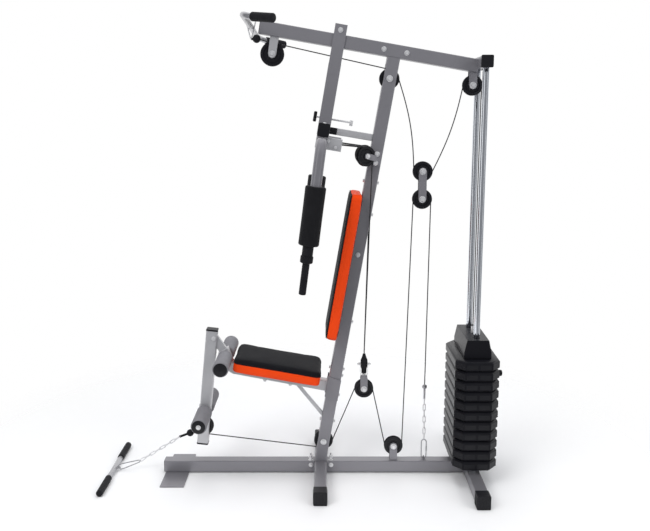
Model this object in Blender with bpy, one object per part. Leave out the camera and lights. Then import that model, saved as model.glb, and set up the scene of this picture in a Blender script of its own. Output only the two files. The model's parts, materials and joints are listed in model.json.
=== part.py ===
"""Multi gym with a weight stack: frame, lat bar, press and butterfly arms, leg lever and cables.

Metres, Z up. X runs from the seat (-X) to the weight stack (+X). The mid-plane is Y = 0.
"""
import bpy
import bmesh
import math
from mathutils import Matrix, Vector

for old in list(bpy.data.objects):
    bpy.data.objects.remove(old, do_unlink=True)

# Clearances
GAP = 0.0003            # between pieces that touch in the real object
RUN = 0.0006            # around turning pieces
RIDE = 0.0008           # between a cable and the bottom of its groove

# Tubes
T = 0.060               # main square tube
CORNER = 0.006          # outer corner radius of the tubes
LEAN = math.radians(9.8)
UP = Vector((math.sin(LEAN), 0, math.cos(LEAN)))       # up the upright
BACK = Vector((math.cos(LEAN), 0, -math.sin(LEAN)))    # along the top beam to the rear

# Base
BEAM_Z = 0.005          # underside of the base tubes
FRONT_X = -0.672
FOOT_X = 0.113          # centre stabiliser and foot of the upright
STACK_X = 0.860         # rear stabiliser, guide rods and plates
FOOT_PLATE = (0.116, 0.38)
CENTRE_HALF = 0.350
REAR_HALF = 0.390
CAP_WALL = 0.0025
CAP_DEPTH = 0.062
CAP_END = 0.028

# Upright and top beam
BEND_Z = 0.126
UP_LEN = 1.9654         # from the bend to the axis of the top beam
BEAM_FRONT = -0.162
CROSS = 0.050           # rod crosspiece tube
CROSS_HALF = 0.130
ROD_R = 0.0155
ROD_Y = 0.100

# Pulleys
WHEEL_R = 0.047
FRONT_WHEEL_R = 0.055
WHEEL_T = 0.022
GROOVE = 0.0085         # groove depth
AXLE_R = 0.006
STRAP_T = 0.004
STRAP_W = 0.038
CABLE_R = 0.0026
DOUBLE_UPPER = (0.5965, 1.512)
DOUBLE_LOWER = (0.5965, 1.381)
SINGLE_WHEEL = (0.328, 0.4388)
FLOOR_WHEEL = (0.479, 0.138)
FOOT_WHEEL = (0.1275, 0.1675)
SLOT_W = 0.028          # slots through the tubes for the wheels
SLOT_ROOM = 0.010       # how far they go beyond the wheel

# Stack
PLATES = 11
PITCH = 0.0472
STACK_Z = 0.116
STACK_W = 0.212
STACK_L = 0.400
STACK_CHAMFER = (0.040, 0.048)
BLOCK_H = 0.090
BLOCK_L = 0.300

# Press arm
PIVOT_X = 0.206
POST = 0.058
CHEEK_T = 0.006
PRESS_DROP = 0.452      # pivot to the crossbar axis
CROSSBAR_HALF = 0.185
ARM_Y = 0.325
HINGE_Y = 0.145
ARM_TUBE = 0.048
FOAM_R = 0.046
FOAM_L = 0.262

MID_YAW = math.radians(30)      # how far the mid wheels are turned out
SLEEVE_TOP = 0.620              # where the press cables leave the sleeve

# Leg lever
LEVER_TOP = Vector((-0.416, 0, 0.753))
LEVER_END = Vector((-0.480, 0, 0.153))
LEVER_PIVOT = Vector((-0.409, 0, 0.700))
LEVER_W = 0.050
KNEE = Vector((-0.353, 0, 0.607))
ANKLE = Vector((-0.462, 0, 0.326))
ROLLER_R = 0.038
ROLLER_IN = 0.034
ROLLER_OUT = 0.232
SHAFT_R = 0.011

# Seat and backrest
SEAT_TILT = math.radians(8.8)
SEAT_L = 0.400
SEAT_W = 0.300
SEAT_H = 0.078
BACK_L = 0.700
BACK_W = 0.280
BACK_H = 0.062
BOARD_T = 0.010



def on_upright(s, off=0.0):
    """(x, z) at a distance s up the upright, off to the rear of its axis."""
    return (FOOT_X + s * UP.x + off * BACK.x, BEND_Z + s * UP.z + off * BACK.z)


def on_beam(x, drop=0.0):
    """z at a drop below the top beam's axis."""
    head = on_upright(UP_LEN)
    return head[1] - (x - head[0]) * math.tan(LEAN) - drop


# Places that hang from the top beam
CROSS_Z = on_beam(STACK_X, -0.01852)
FRONT_WHEEL = (-0.1077, on_beam(-0.1077, 0.10963))
SECOND_WHEEL = on_upright(UP_LEN - 0.12548, 0.00643)
REAR_WHEEL = (0.8184, on_beam(0.8184, 0.09017))
PIVOT = Vector((PIVOT_X, 0, on_beam(PIVOT_X, -0.04855)))
GUIDE = (-0.036, on_beam(-0.036, 0.08025))
LAT_BALL = (-0.1790, on_beam(-0.1790, 0.05345))
HOOK_LOW = (-0.2045, on_beam(-0.2045, 0.06336))

COLOURS = {
    "steel": (0.22, 0.21, 0.23, 1), "light": (0.42, 0.41, 0.44, 1), "black": (0.015, 0.015, 0.018, 1),
    "orange": (0.80, 0.09, 0.01, 1), "chrome": (0.75, 0.76, 0.78, 1), "foam": (0.10, 0.10, 0.11, 1),
    "zinc": (0.6, 0.6, 0.62, 1),
}
METAL = {"steel": 0.6, "light": 0.6, "chrome": 1.0, "zinc": 0.9}
WELD = 1e-5             # points this close after a join are one


def paint(obj, colour):
    mat = bpy.data.materials.new(obj.name)
    mat.use_nodes = True
    bsdf = mat.node_tree.nodes["Principled BSDF"]
    bsdf.inputs["Base Color"].default_value = COLOURS[colour]
    bsdf.inputs["Metallic"].default_value = METAL.get(colour, 0.0)
    bsdf.inputs["Roughness"].default_value = 0.15 if colour == "chrome" else 0.45
    obj.data.materials.clear()
    obj.data.materials.append(mat)


def make(name, bm, smooth=False):
    """An object from a bmesh, facing out."""
    bmesh.ops.remove_doubles(bm, verts=bm.verts, dist=1e-6)
    bmesh.ops.recalc_face_normals(bm, faces=bm.faces)
    mesh = bpy.data.meshes.new(name)
    bm.to_mesh(mesh)
    bm.free()
    obj = bpy.data.objects.new(name, mesh)
    bpy.context.scene.collection.objects.link(obj)
    for poly in mesh.polygons:
        poly.use_smooth = smooth
    return obj


def loft(name, rings, smooth=False, closed=False):
    """A solid through rings of points; the ends are filled unless the rings close on themselves."""
    bm = bmesh.new()
    loops = [[bm.verts.new(p) for p in ring] for ring in rings]
    count = len(loops[0])
    pairs = list(zip(loops, loops[1:]))
    if closed:
        pairs.append((loops[-1], loops[0]))
    for a, b in pairs:
        for i in range(count):
            j = (i + 1) % count
            bm.faces.new((a[i], a[j], b[j], b[i]))
    if not closed:
        bm.faces.new(loops[0][::-1])
        bm.faces.new(loops[-1])
    return make(name, bm, smooth)


def rounded(w, h, r, seg=2):
    """Corner-rounded rectangle as (u, v) pairs, w along u and h along v."""
    out = []
    for k, (cu, cv) in enumerate(((1, 1), (-1, 1), (-1, -1), (1, -1))):
        for i in range(seg + 1):
            a = math.pi / 2 * (k + i / seg)
            out.append((cu * (w / 2 - r) + r * math.cos(a), cv * (h / 2 - r) + r * math.sin(a)))
    return out


def sweep(name, path, w, h, r=CORNER, seg=2, y=0.0):
    """A rectangular tube along points in an XZ plane, mitred at the bends; w is across (Y)."""
    pts = [Vector((p[0], y, p[1])) for p in path]
    rings = []
    for i, p in enumerate(pts):
        back = (p - pts[i - 1]).normalized() if i else None
        ahead = (pts[i + 1] - p).normalized() if i + 1 < len(pts) else None
        way = ((back or ahead) + (ahead or back)).normalized()
        stretch = 1 / way.dot(ahead or back)
        side = Vector((-way.z, 0, way.x)) * stretch
        rings.append([p + Vector((0, u, 0)) + side * v for u, v in rounded(w, h, r, seg)])
    return loft(name, rings)


def sheet(name, outline, y0, y1):
    """A plate cut to an outline of (x, z) points, from y0 to y1."""
    return loft(name, [[Vector((x, y, z)) for x, z in outline] for y in (y0, y1)])


def block(name, lo, hi):
    return sheet(name, [(lo[0], lo[2]), (hi[0], lo[2]), (hi[0], hi[2]), (lo[0], hi[2])], lo[1], hi[1])


def lathe(name, profile, origin, axis, seg=18, smooth=True):
    """Turns (radius, along) pairs about an axis; a closed loop of pairs makes a bored piece."""
    axis = Vector(axis).normalized()
    side = axis.orthogonal().normalized()
    other = axis.cross(side)
    bored = min(r for r, _ in profile) > 0
    rings = []
    for k in range(seg):
        a = 2 * math.pi * k / seg
        out = side * math.cos(a) + other * math.sin(a)
        rings.append([Vector(origin) + axis * t + out * r for r, t in profile])
    bm = bmesh.new()
    loops = [[bm.verts.new(p) for p in ring] for ring in rings]
    count = len(profile)
    for i in range(seg):
        a, b = loops[i], loops[(i + 1) % seg]
        for j in range(count if bored else count - 1):
            m = (j + 1) % count
            ends = [a[j], a[m], b[m], b[j]]
            bm.faces.new(ends)
    return make(name, bm, smooth)


def bored(r, seg=18):
    """The corner radius of a bore whose flats clear a shaft of radius r."""
    return r / math.cos(math.pi / seg)


def rod(name, a, b, r, seg=16):
    a, b = Vector(a), Vector(b)
    length = (b - a).length
    way = (b - a).normalized()
    side = way.orthogonal().normalized()
    other = way.cross(side)
    rings = [[p + (side * math.cos(2 * math.pi * k / seg) + other * math.sin(2 * math.pi * k / seg)) * r
              for k in range(seg)] for p in (a, a + way * length)]
    return loft(name, rings, True)


def bend(name, path, r, seg=12):
    """A round bar through points in space."""
    pts = [Vector(p) for p in path]
    rings = []
    side = None
    for i, p in enumerate(pts):
        back = (p - pts[i - 1]).normalized() if i else None
        ahead = (pts[i + 1] - p).normalized() if i + 1 < len(pts) else None
        way = ((back or ahead) + (ahead or back)).normalized()
        side = way.orthogonal().normalized() if side is None else (side - way * side.dot(way)).normalized()
        other = way.cross(side)
        rings.append([p + (side * math.cos(2 * math.pi * k / seg) + other * math.sin(2 * math.pi * k / seg)) * r
                      for k in range(seg)])
    return loft(name, rings, True)


def combine(base, others, operation="UNION"):
    """Joins or cuts and leaves one plain mesh; the other pieces go."""
    for other in others:
        mod = base.modifiers.new("join", "BOOLEAN")
        mod.operation = operation
        mod.solver = "EXACT"
        mod.object = other
    graph = bpy.context.evaluated_depsgraph_get()
    mesh = bpy.data.meshes.new_from_object(base.evaluated_get(graph))
    base.modifiers.clear()
    bm = bmesh.new()
    bm.from_mesh(mesh)
    bmesh.ops.remove_doubles(bm, verts=bm.verts, dist=WELD)
    bmesh.ops.dissolve_degenerate(bm, dist=WELD, edges=bm.edges)
    bmesh.ops.triangulate(bm, faces=bm.faces)
    bm.to_mesh(mesh)
    bm.free()
    base.data = mesh
    for other in others:
        bpy.data.objects.remove(other, do_unlink=True)
    return base


def cut(base, others):
    return combine(base, others, "DIFFERENCE")


def arc(centre, r, start, end, steps):
    """Points on a circle in the XZ plane, angles in degrees."""
    return [(centre[0] + r * math.cos(math.radians(start + (end - start) * i / steps)),
             centre[1] + r * math.sin(math.radians(start + (end - start) * i / steps))) for i in range(steps + 1)]


def cable(name, points, balls=()):
    """A cable made whole along its route, with its ball stops."""
    curve = bpy.data.curves.new(name, "CURVE")
    curve.dimensions = "3D"
    spline = curve.splines.new("POLY")
    spline.points.add(len(points) - 1)
    for target, p in zip(spline.points, points):
        target.co = (*p, 1)
    curve.bevel_depth = CABLE_R
    curve.bevel_resolution = 2
    curve.use_fill_caps = True
    tmp = bpy.data.objects.new(name + "_line", curve)
    bpy.context.scene.collection.objects.link(tmp)
    graph = bpy.context.evaluated_depsgraph_get()
    mesh = bpy.data.meshes.new_from_object(tmp.evaluated_get(graph))
    bpy.data.objects.remove(tmp, do_unlink=True)
    bm = bmesh.new()
    bm.from_mesh(mesh)
    obj = make(name, bm, True)
    if balls:
        combine(obj, list(balls))
    paint(obj, "black")
    return obj


def wheel(name, centre, r=WHEEL_R, y=0.0, axis=(0, 1, 0)):
    """A grooved cable wheel, bored for its axle."""
    h = WHEEL_T / 2
    bore = AXLE_R + 0.0008
    one_side = [(bore, h + 0.001), (0.016, h + 0.001), (r - 0.011, h - 0.003), (r - 0.004, h), (r, h - 0.003),
                (r - GROOVE, 0.0032)]
    profile = [(a, -t) for a, t in one_side] + one_side[::-1]
    obj = lathe(name, profile, (0, 0, 0), axis, 16)
    for v in obj.data.vertices:
        v.co += Vector((centre[0], y, centre[1]))
    paint(obj, "black")
    return obj


def strap(name, a, b, w, y0, y1, seg=4):
    """A flat bar with round ends between two points in an XZ plane."""
    a, b = Vector((a[0], 0, a[1])), Vector((b[0], 0, b[1]))
    tilt = math.degrees(math.atan2(b.z - a.z, b.x - a.x))
    outline = arc((b.x, b.z), w / 2, tilt - 90, tilt + 90, seg) + arc((a.x, a.z), w / 2, tilt + 90, tilt + 270, seg)
    return sheet(name, outline, y0, y1)


def fork(tag, a, b, w=STRAP_W, inner=None, head=True):
    """Two straps and the axle bolt at b."""
    inner = inner if inner is not None else WHEEL_T / 2 + 0.001 + 0.0008
    out = [strap(f"{tag}_{s}", a, b, w, *sorted((s * inner, s * (inner + STRAP_T)))) for s in (-1, 1)]
    far = inner + STRAP_T + (0.006 if head else 0.001)
    out.append(rod(tag + "_axle", (b[0], -far, b[1]), (b[0], far, b[1]), AXLE_R, 12))
    return out


def slanted(x, z, tilt):
    """Local X along a line that drops to the rear by tilt, local Z its upper normal, at (x, z)."""
    return Matrix.Translation((x, 0, z)) @ Matrix.Rotation(tilt, 4, "Y")


def belt(stops, step=18.0, bows=()):
    """(x, z) points along a cable: stops are (centre, radius, turn), turn 1 leaves the wheel on its left."""
    signed = [(Vector(c), r * turn) for c, r, turn in stops]
    spans = []
    for (a, ra), (b, rb) in zip(signed, signed[1:]):
        d = b - a
        way = math.atan2(d.y, d.x) + math.asin((ra - rb) / d.length)
        n = Vector((-math.sin(way), math.cos(way)))
        spans.append((a - n * ra, b - n * rb, n))
    points = [spans[0][0]]
    for i, (a, b, n) in enumerate(spans):
        if i:
            centre, r = signed[i]
            first = points[-1] - centre
            last = a - centre
            turn = math.copysign(1, r)
            sweep_by = (math.atan2(last.y, last.x) - math.atan2(first.y, first.x)) * turn % (2 * math.pi)
            count = max(1, math.ceil(math.degrees(sweep_by) / step))
            start = math.atan2(first.y, first.x)
            for k in range(1, count + 1):
                at = start + turn * sweep_by * k / count
                points.append(centre + abs(r) * Vector((math.cos(at), math.sin(at))))
        bow = dict(bows).get(i, 0.0)
        if bow:
            points += [a.lerp(b, k / 6) - n * bow * math.sin(math.pi * k / 6) for k in range(1, 6)]
        points.append(b)
    clean = [points[0]]
    for p in points[1:]:
        if (p - clean[-1]).length > CABLE_R:
            clean.append(p)
    return [(p.x, 0.0, p.y) for p in clean]


def link(name, at, way, across, length, width, wire, pieces=3):
    """One chain link, a closed loop of wire."""
    way, across = Vector(way).normalized(), Vector(across).normalized()
    up = way.cross(across)
    r = width / 2 - wire
    half = length / 2 - wire - r
    rings = []
    for end in (1, -1):
        for k in range(pieces + 1):
            a = -math.pi / 2 + math.pi * k / pieces
            out = way * math.cos(a) * end + across * math.sin(a) * end
            spot = Vector(at) + way * half * end + out * r
            rings.append([spot + (out * math.cos(b) + up * math.sin(b)) * wire
                          for b in (2 * math.pi * j / 5 for j in range(5))])
    return loft(name, rings, True, closed=True)


def chain(tag, a, b, count, width, wire):
    """Links from a to b, each lapped into the next so that the chain is one body."""
    a, b = Vector(a), Vector(b)
    way = (b - a).normalized()
    flat = Vector((0, 1, 0))
    pitch = (b - a).length / count
    out = []
    for k in range(count):
        across = flat if k % 2 else way.cross(flat)
        length = pitch + 2 * wire * 0.8 + 0.0004
        out.append(link(f"{tag}_{k}", a + way * pitch * (k + 0.5), way, across, length, width, wire))
    return out


def ball(name, at, r, seg=12):
    profile = [(r * math.sin(math.pi * k / 6), -r * math.cos(math.pi * k / 6)) for k in range(7)]
    profile[0], profile[-1] = (0.0, -r), (0.0, r)
    return lathe(name, profile, at, (0, 0, 1), seg)


def pad(name, length, width, height, matrix, crown=0.005, colour="black"):
    """A stuffed pad, its underside on local z = 0, drawn in below and crowned above."""
    rings = []
    for z, inset in ((0.0, 0.003), (0.12, 0.0), (0.50, 0.0), (0.76, 0.002), (0.91, 0.007), (1.0, 0.018)):
        outline = rounded(length - 2 * inset, width - 2 * inset, max(0.030 - inset, 0.012), 4)
        rings.append([matrix @ Vector((u, v, z * height)) for u, v in outline])
    for share, lift in ((0.55, 0.7), (0.10, 1.0)):
        outline = rounded((length - 0.036) * share, (width - 0.036) * share, 0.012 * share, 4)
        rings.append([matrix @ Vector((u, v, height + crown * lift)) for u, v in outline])
    obj = loft(name, rings, True)
    paint(obj, colour)
    return obj


# Base

top = BEAM_Z + T
mid_z = BEAM_Z + T / 2
beam = sweep("base_beam_front", [(FRONT_X, mid_z), (FOOT_X - T / 2 - GAP, mid_z)], T, T)
plate = block("plate", (FRONT_X + 0.006, -FOOT_PLATE[1] / 2, 0),
              (FRONT_X + 0.006 + FOOT_PLATE[0], FOOT_PLATE[1] / 2, BEAM_Z + 0.0005))
combine(beam, [plate])
paint(beam, "light")

eye_x = 0.633
rear = sweep("base_beam_rear", [(FOOT_X + T / 2 + GAP, mid_z), (STACK_X - T / 2 - GAP, mid_z)], T, T)
eye = bend("eye", [(eye_x, 0.014 * math.cos(a), top - 0.002 + 0.017 * math.sin(a))
                   for a in (math.pi * k / 6 for k in range(7))], 0.003, 8)
combine(rear, fork("floor_fork", (FLOOR_WHEEL[0], top - 0.012), FLOOR_WHEEL) + [eye])
paint(rear, "steel")

for name, x, half in (("centre", FOOT_X, CENTRE_HALF), ("rear", STACK_X, REAR_HALF)):
    outline = [(x + u, mid_z + v) for u, v in rounded(T, T, CORNER)]
    tube = sheet(name + "_stabiliser", outline, -half, half)
    paint(tube, "steel")
    low, high = 0.0, top + CAP_WALL
    wide = T / 2 + CAP_WALL
    for tag, s in (("near", -1), ("far", 1)):
        inner = half + CAP_END - CAP_DEPTH
        shell = sheet(f"{name}_cap_{tag}", [(x + u, (low + high) / 2 + v) for u, v in
                                            rounded(2 * wide, high - low, CORNER)],
                      *sorted((s * inner, s * (half + CAP_END))))
        hollow = sheet("hollow", [(x + u, mid_z + v) for u, v in rounded(T + 2 * GAP, T + 2 * GAP, CORNER)],
                       *sorted((s * (inner - 0.01), s * (half + GAP))))
        cut(shell, [hollow])
        paint(shell, "black")

# Upright, top beam and rod crosspiece

foot_slot = rod("slot", (FOOT_WHEEL[0], -SLOT_W / 2, FOOT_WHEEL[1]), (FOOT_WHEEL[0], SLOT_W / 2, FOOT_WHEEL[1]),
                WHEEL_R + SLOT_ROOM, 20)
high_slot = rod("slot", (SECOND_WHEEL[0], -SLOT_W / 2, SECOND_WHEEL[1]),
                (SECOND_WHEEL[0], SLOT_W / 2, SECOND_WHEEL[1]), WHEEL_R + SLOT_ROOM / 2, 20)
upright = sweep("main_upright", [(FOOT_X, top + GAP), (FOOT_X, BEND_Z), on_upright(UP_LEN - T / 2 - GAP)], T, T)
entry = block("entry", (SECOND_WHEEL[0] - 0.080, -SLOT_W / 2, SECOND_WHEEL[1]),
              (SECOND_WHEEL[0], SLOT_W / 2, SECOND_WHEEL[1] + WHEEL_R + 0.020))
low_entry = block("entry", (FOOT_X - 0.060, -SLOT_W / 2, FOOT_WHEEL[1] - WHEEL_R - 0.008),
                  (FOOT_WHEEL[0], SLOT_W / 2, FOOT_WHEEL[1] + 0.010))
cut(upright, [foot_slot, high_slot, entry, low_entry])
combine(upright, [rod("axle", (w[0], -T / 2 - 0.004, w[1]), (w[0], T / 2 + 0.004, w[1]), AXLE_R, 12)
                  for w in (FOOT_WHEEL, SECOND_WHEEL)])
paint(upright, "steel")

cross_face = STACK_X - CROSS / 2 + 0.002
start = Vector((BEAM_FRONT, 0, on_beam(BEAM_FRONT)))
end = Vector((cross_face, 0, on_beam(cross_face)))
rings = []
for p, face in ((start, BACK), (end, Vector((1, 0, 0)))):
    side = Vector((-face.z, 0, face.x)) / face.dot(BACK)
    rings.append([p + Vector((0, u, 0)) + side * v for u, v in rounded(T, T, CORNER)])
top_beam = loft("top_beam", rings)
boss = strap("boss", (PIVOT.x + 0.010, PIVOT.z - 0.040), (PIVOT.x, PIVOT.z), 0.036, -0.022, 0.022)
front_x, guide_x = FRONT_WHEEL[0] + 0.0132, GUIDE[0] + 0.003
parts = fork("front_fork", (front_x, on_beam(front_x, 0.0164)), FRONT_WHEEL)
parts += fork("rear_fork", (REAR_WHEEL[0], on_beam(REAR_WHEEL[0], 0.0107)), REAR_WHEEL)
parts += [strap(f"guide_{s}", (guide_x, on_beam(guide_x, 0.0217)), GUIDE, 0.014, *sorted((s * 0.0055, s * 0.0090)))
          for s in (-1, 1)]
parts += [rod("guide_roll", (GUIDE[0], -0.0070, GUIDE[1]), (GUIDE[0], 0.0070, GUIDE[1]), 0.0125, 16), boss]
combine(top_beam, parts)
cut(top_beam, [rod("bore", (PIVOT.x, -0.04, PIVOT.z), (PIVOT.x, 0.04, PIVOT.z), 0.0070 + RUN, 16)])

rings = []
for y, w in ((-CROSS_HALF, CROSS + 0.004), (-CROSS_HALF + 0.010, CROSS + 0.004), (-CROSS_HALF + 0.0101, CROSS),
             (CROSS_HALF - 0.0101, CROSS), (CROSS_HALF - 0.010, CROSS + 0.004), (CROSS_HALF, CROSS + 0.004)):
    rings.append([Vector((STACK_X + u, y, CROSS_Z + v)) for u, v in rounded(w, w, 0.005)])
combine(top_beam, [loft("crosspiece", rings)])
paint(top_beam, "steel")
for tag, s in (("near", -1), ("far", 1)):
    pole = rod("guide_rod_" + tag, (STACK_X, s * ROD_Y, top + GAP), (STACK_X, s * ROD_Y, CROSS_Z - CROSS / 2 - GAP),
               ROD_R, 18)
    paint(pole, "chrome")

# Weight stack

stem_r = 0.012
stack_top = STACK_Z + PLATES * PITCH
lifted = 3


def plates(name, first, count):
    """Plates numbered from the bottom, each with chamfered edges, bored for rods and stem."""
    rings = []
    for k in range(first, first + count):
        z0 = STACK_Z + k * PITCH
        z1 = z0 + PITCH
        for z, inset in ((z0 + (GAP if k == first else 0.0015), 0.006), (z0 + 0.008, 0.0), (z1 - 0.010, 0.0),
                         (z1 - (GAP if k == first + count - 1 else 0.0015), 0.007)):
            hx, hy = STACK_W / 2 - inset, STACK_L / 2 - inset
            cx, cy = STACK_CHAMFER
            corner = [(hx, -hy + cy), (hx, hy - cy), (hx - cx, hy), (-hx + cx, hy), (-hx, hy - cy),
                      (-hx, -hy + cy), (-hx + cx, -hy), (hx - cx, -hy)]
            rings.append([Vector((STACK_X + a, b, z)) for a, b in corner])
    obj = loft(name, rings)
    z0, z1 = STACK_Z + first * PITCH - 0.02, STACK_Z + (first + count) * PITCH + 0.02
    bores = [rod("bore", (STACK_X, s * ROD_Y, z0), (STACK_X, s * ROD_Y, z1), ROD_R + 0.0015, 18) for s in (-1, 1)]
    bores.append(rod("bore", (STACK_X, 0, z0), (STACK_X, 0, z1), stem_r + 0.0015, 16))
    return cut(obj, bores)


paint(plates("resting_plates", 0, PLATES - lifted), "black")
pin_z = stack_top - (lifted - 0.5) * PITCH
pin_r = 0.0050
raised = plates("lifted_plates", PLATES - lifted, lifted)
cut(raised, [rod("bore", (STACK_X, 0, pin_z), (STACK_X + 0.2, 0, pin_z), pin_r + RUN, 12)])
paint(raised, "black")

base_z = stack_top + GAP
outline = [(-0.065, 0), (0.065, 0), (0.065, 0.030), (0.052, BLOCK_H), (-0.052, BLOCK_H), (-0.065, 0.030)]
head = sheet("top_block", [(STACK_X + a, base_z + b) for a, b in outline], -BLOCK_L / 2, BLOCK_L / 2)
combine(head, [rod("stem", (STACK_X, 0, STACK_Z + 0.02), (STACK_X, 0, base_z + 0.01), stem_r, 16),
               rod("eye", (STACK_X, 0, base_z + BLOCK_H - 0.005), (STACK_X, 0, base_z + BLOCK_H + 0.030), 0.009, 12)])
cut(head, [rod("bore", (STACK_X, s * ROD_Y, base_z - 0.01), (STACK_X, s * ROD_Y, base_z + BLOCK_H + 0.01),
               ROD_R + 0.0012, 18) for s in (-1, 1)]
    + [rod("bore", (STACK_X - 0.03, 0, pin_z), (STACK_X + 0.03, 0, pin_z), pin_r + RUN, 12)])
paint(head, "black")
pin = lathe("selector_pin", [(0, -0.010), (pin_r, -0.010), (pin_r, 0.118), (0.013, 0.119), (0.016, 0.124),
                             (0.016, 0.146), (0.012, 0.152), (0, 0.152)], (STACK_X, 0, pin_z), (1, 0, 0), 16)
paint(pin, "chrome")

# Seat and backrest

seat_tube = 0.055
seat_path = [(0.1390, 0.4565), (-0.285, 0.5325), (-0.322, 0.5610), (-0.366, 0.6386)]
face = Vector((FOOT_X, 0, BEND_Z)) - BACK * (T / 2 + GAP)
way = (Vector((seat_path[0][0], 0, seat_path[0][1])) - Vector((seat_path[1][0], 0, seat_path[1][1]))).normalized()
reach = (face - Vector((seat_path[0][0], 0, seat_path[0][1]))).dot(BACK) / way.dot(BACK)
seat_path[0] = (seat_path[0][0] + way.x * reach, seat_path[0][1] + way.z * reach)
frame = sweep("seat_frame", seat_path, 0.050, seat_tube)
tongue = strap("tongue", (seat_path[-1][0] + 0.012, seat_path[-1][1] - 0.020), (LEVER_PIVOT.x, LEVER_PIVOT.z),
               0.040, -0.010, 0.010)
knee = rod("shaft", (KNEE.x, -ROLLER_OUT - 0.004, KNEE.z), (KNEE.x, ROLLER_OUT + 0.004, KNEE.z), SHAFT_R, 16)
combine(frame, [tongue, knee])
cut(frame, [rod("bore", (LEVER_PIVOT.x, -0.02, LEVER_PIVOT.z), (LEVER_PIVOT.x, 0.02, LEVER_PIVOT.z),
                0.008 + RUN, 16)])
paint(frame, "steel")

seat_dir = way
seat_up = Vector((-way.z, 0, way.x))
first = Vector((seat_path[1][0], 0, seat_path[1][1])) - seat_up * (seat_tube / 2 + GAP)


def meet(p, d, q, e):
    """Where the line through p along d meets the line through q along e."""
    t = ((q.x - p.x) * e.z - (q.z - p.z) * e.x) / (d.x * e.z - d.z * e.x)
    return p + d * t


strut_a, strut_b = Vector((0.004, 0, 0.4530)), Vector((0.1130, 0, 0.3060))
strut_way = (strut_b - strut_a).normalized()
strut_side = Vector((strut_way.z, 0, -strut_way.x)) * 0.008
corners = [meet(strut_a + strut_side * s, strut_way, *line) for s, line in
           ((-1, (first, seat_dir)), (1, (first, seat_dir)), (1, (face, UP)), (-1, (face, UP)))]
strut = sheet("seat_strut", [(c.x, c.z) for c in corners], -0.008, 0.008)
paint(strut, "steel")

tube_top = Vector((seat_path[1][0], 0, seat_path[1][1])) + seat_up * (seat_tube / 2)
seat_mid = meet(tube_top, seat_dir, Vector((-0.090, 0, 0.4)), Vector((0, 0, 1)))
tilt = math.atan2(-way.z, way.x)
on_seat = slanted(seat_mid.x, seat_mid.z, tilt) @ Matrix.Translation((0, 0, GAP))
board = loft("seat_board", [[on_seat @ Vector((u, v, z)) for u, v in rounded(SEAT_L - 0.03, SEAT_W - 0.03, 0.02, 3)]
                            for z in (0, BOARD_T)])
paint(board, "black")
pad("seat_pad", SEAT_L, SEAT_W, SEAT_H, on_seat @ Matrix.Translation((0, 0, BOARD_T + GAP)), 0.006)

back_s = 0.957
spot = on_upright(back_s, -T / 2 - GAP)
on_back = (Matrix.Translation((spot[0], 0, spot[1])) @ Matrix.Rotation(LEAN, 4, "Y")
           @ Matrix.Rotation(-math.pi / 2, 4, "Y"))
board = loft("back_board", [[on_back @ Vector((u, v, z)) for u, v in rounded(BACK_L - 0.03, BACK_W - 0.03, 0.02, 3)]
                            for z in (0, BOARD_T)])
paint(board, "black")
pad("back_pad", BACK_L, BACK_W, BACK_H - BOARD_T, on_back @ Matrix.Translation((0, 0, BOARD_T + GAP)), 0.005)

# Press arm and its stop

cross_at = PIVOT - UP * PRESS_DROP
bar_w = 0.050
wide = T / 2 + 0.0012
post = sweep("press_arm", [(cross_at - UP * bar_w / 2).xz, (PIVOT - UP * 0.150).xz], 2 * wide + 0.004, POST)
cheeks = []
for s in (-1, 1):
    low, high = PIVOT - UP * 0.200, PIVOT + UP * 0.026
    side = BACK * (POST / 2 - 0.001)
    outline = [(p.x, p.z) for p in (low - side, low + side, high + side, high - side)]
    cheeks.append(sheet(f"cheek_{s}", outline, *sorted((s * wide, s * (wide + CHEEK_T)))))
turned = [(cross_at.x + u * BACK.x + v * UP.x, cross_at.z + u * BACK.z + v * UP.z) for u, v in
          rounded(bar_w, bar_w, 0.005)]
crossbar = sheet("crossbar", turned, -CROSSBAR_HALF, CROSSBAR_HALF)
bolt = rod("bolt", (PIVOT.x, -wide - CHEEK_T - 0.006, PIVOT.z), (PIVOT.x, wide + CHEEK_T + 0.006, PIVOT.z), 0.007, 16)
combine(post, cheeks + [crossbar, bolt])
lock_at = cross_at + UP * 0.052
cut(post, [rod("bore", lock_at - BACK * 0.06, lock_at + BACK * 0.06, 0.004 + RUN, 12)])
paint(post, "steel")

pad_at = cross_at + BACK * (POST / 2 + GAP)
bumper_l = 0.033
bumper = sweep("stop_bumper", [pad_at.xz, (pad_at + BACK * bumper_l).xz], 0.040, 0.032, 0.004)
paint(bumper, "black")
arm_a = pad_at + BACK * (bumper_l + GAP)
arm_len = (Vector((FOOT_X, 0, BEND_Z)) - arm_a).dot(BACK) - T / 2 - GAP
stop = sweep("stop_arm", [arm_a.xz, (arm_a + BACK * arm_len).xz], 0.040, 0.032, 0.004)
paint(stop, "light")

hook = lock_at + BACK * 0.122
lock = bend("lock_rod", [lock_at - BACK * 0.050, hook - BACK * 0.010, hook - BACK * 0.003 - UP * 0.002,
                         hook - UP * 0.010, hook - UP * 0.0155], 0.004, 10)
knob = lock_at - BACK * 0.050
combine(lock, [rod("knob", knob - UP * 0.022, knob + UP * 0.022, 0.0065, 12)])
paint(lock, "zinc")

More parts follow.
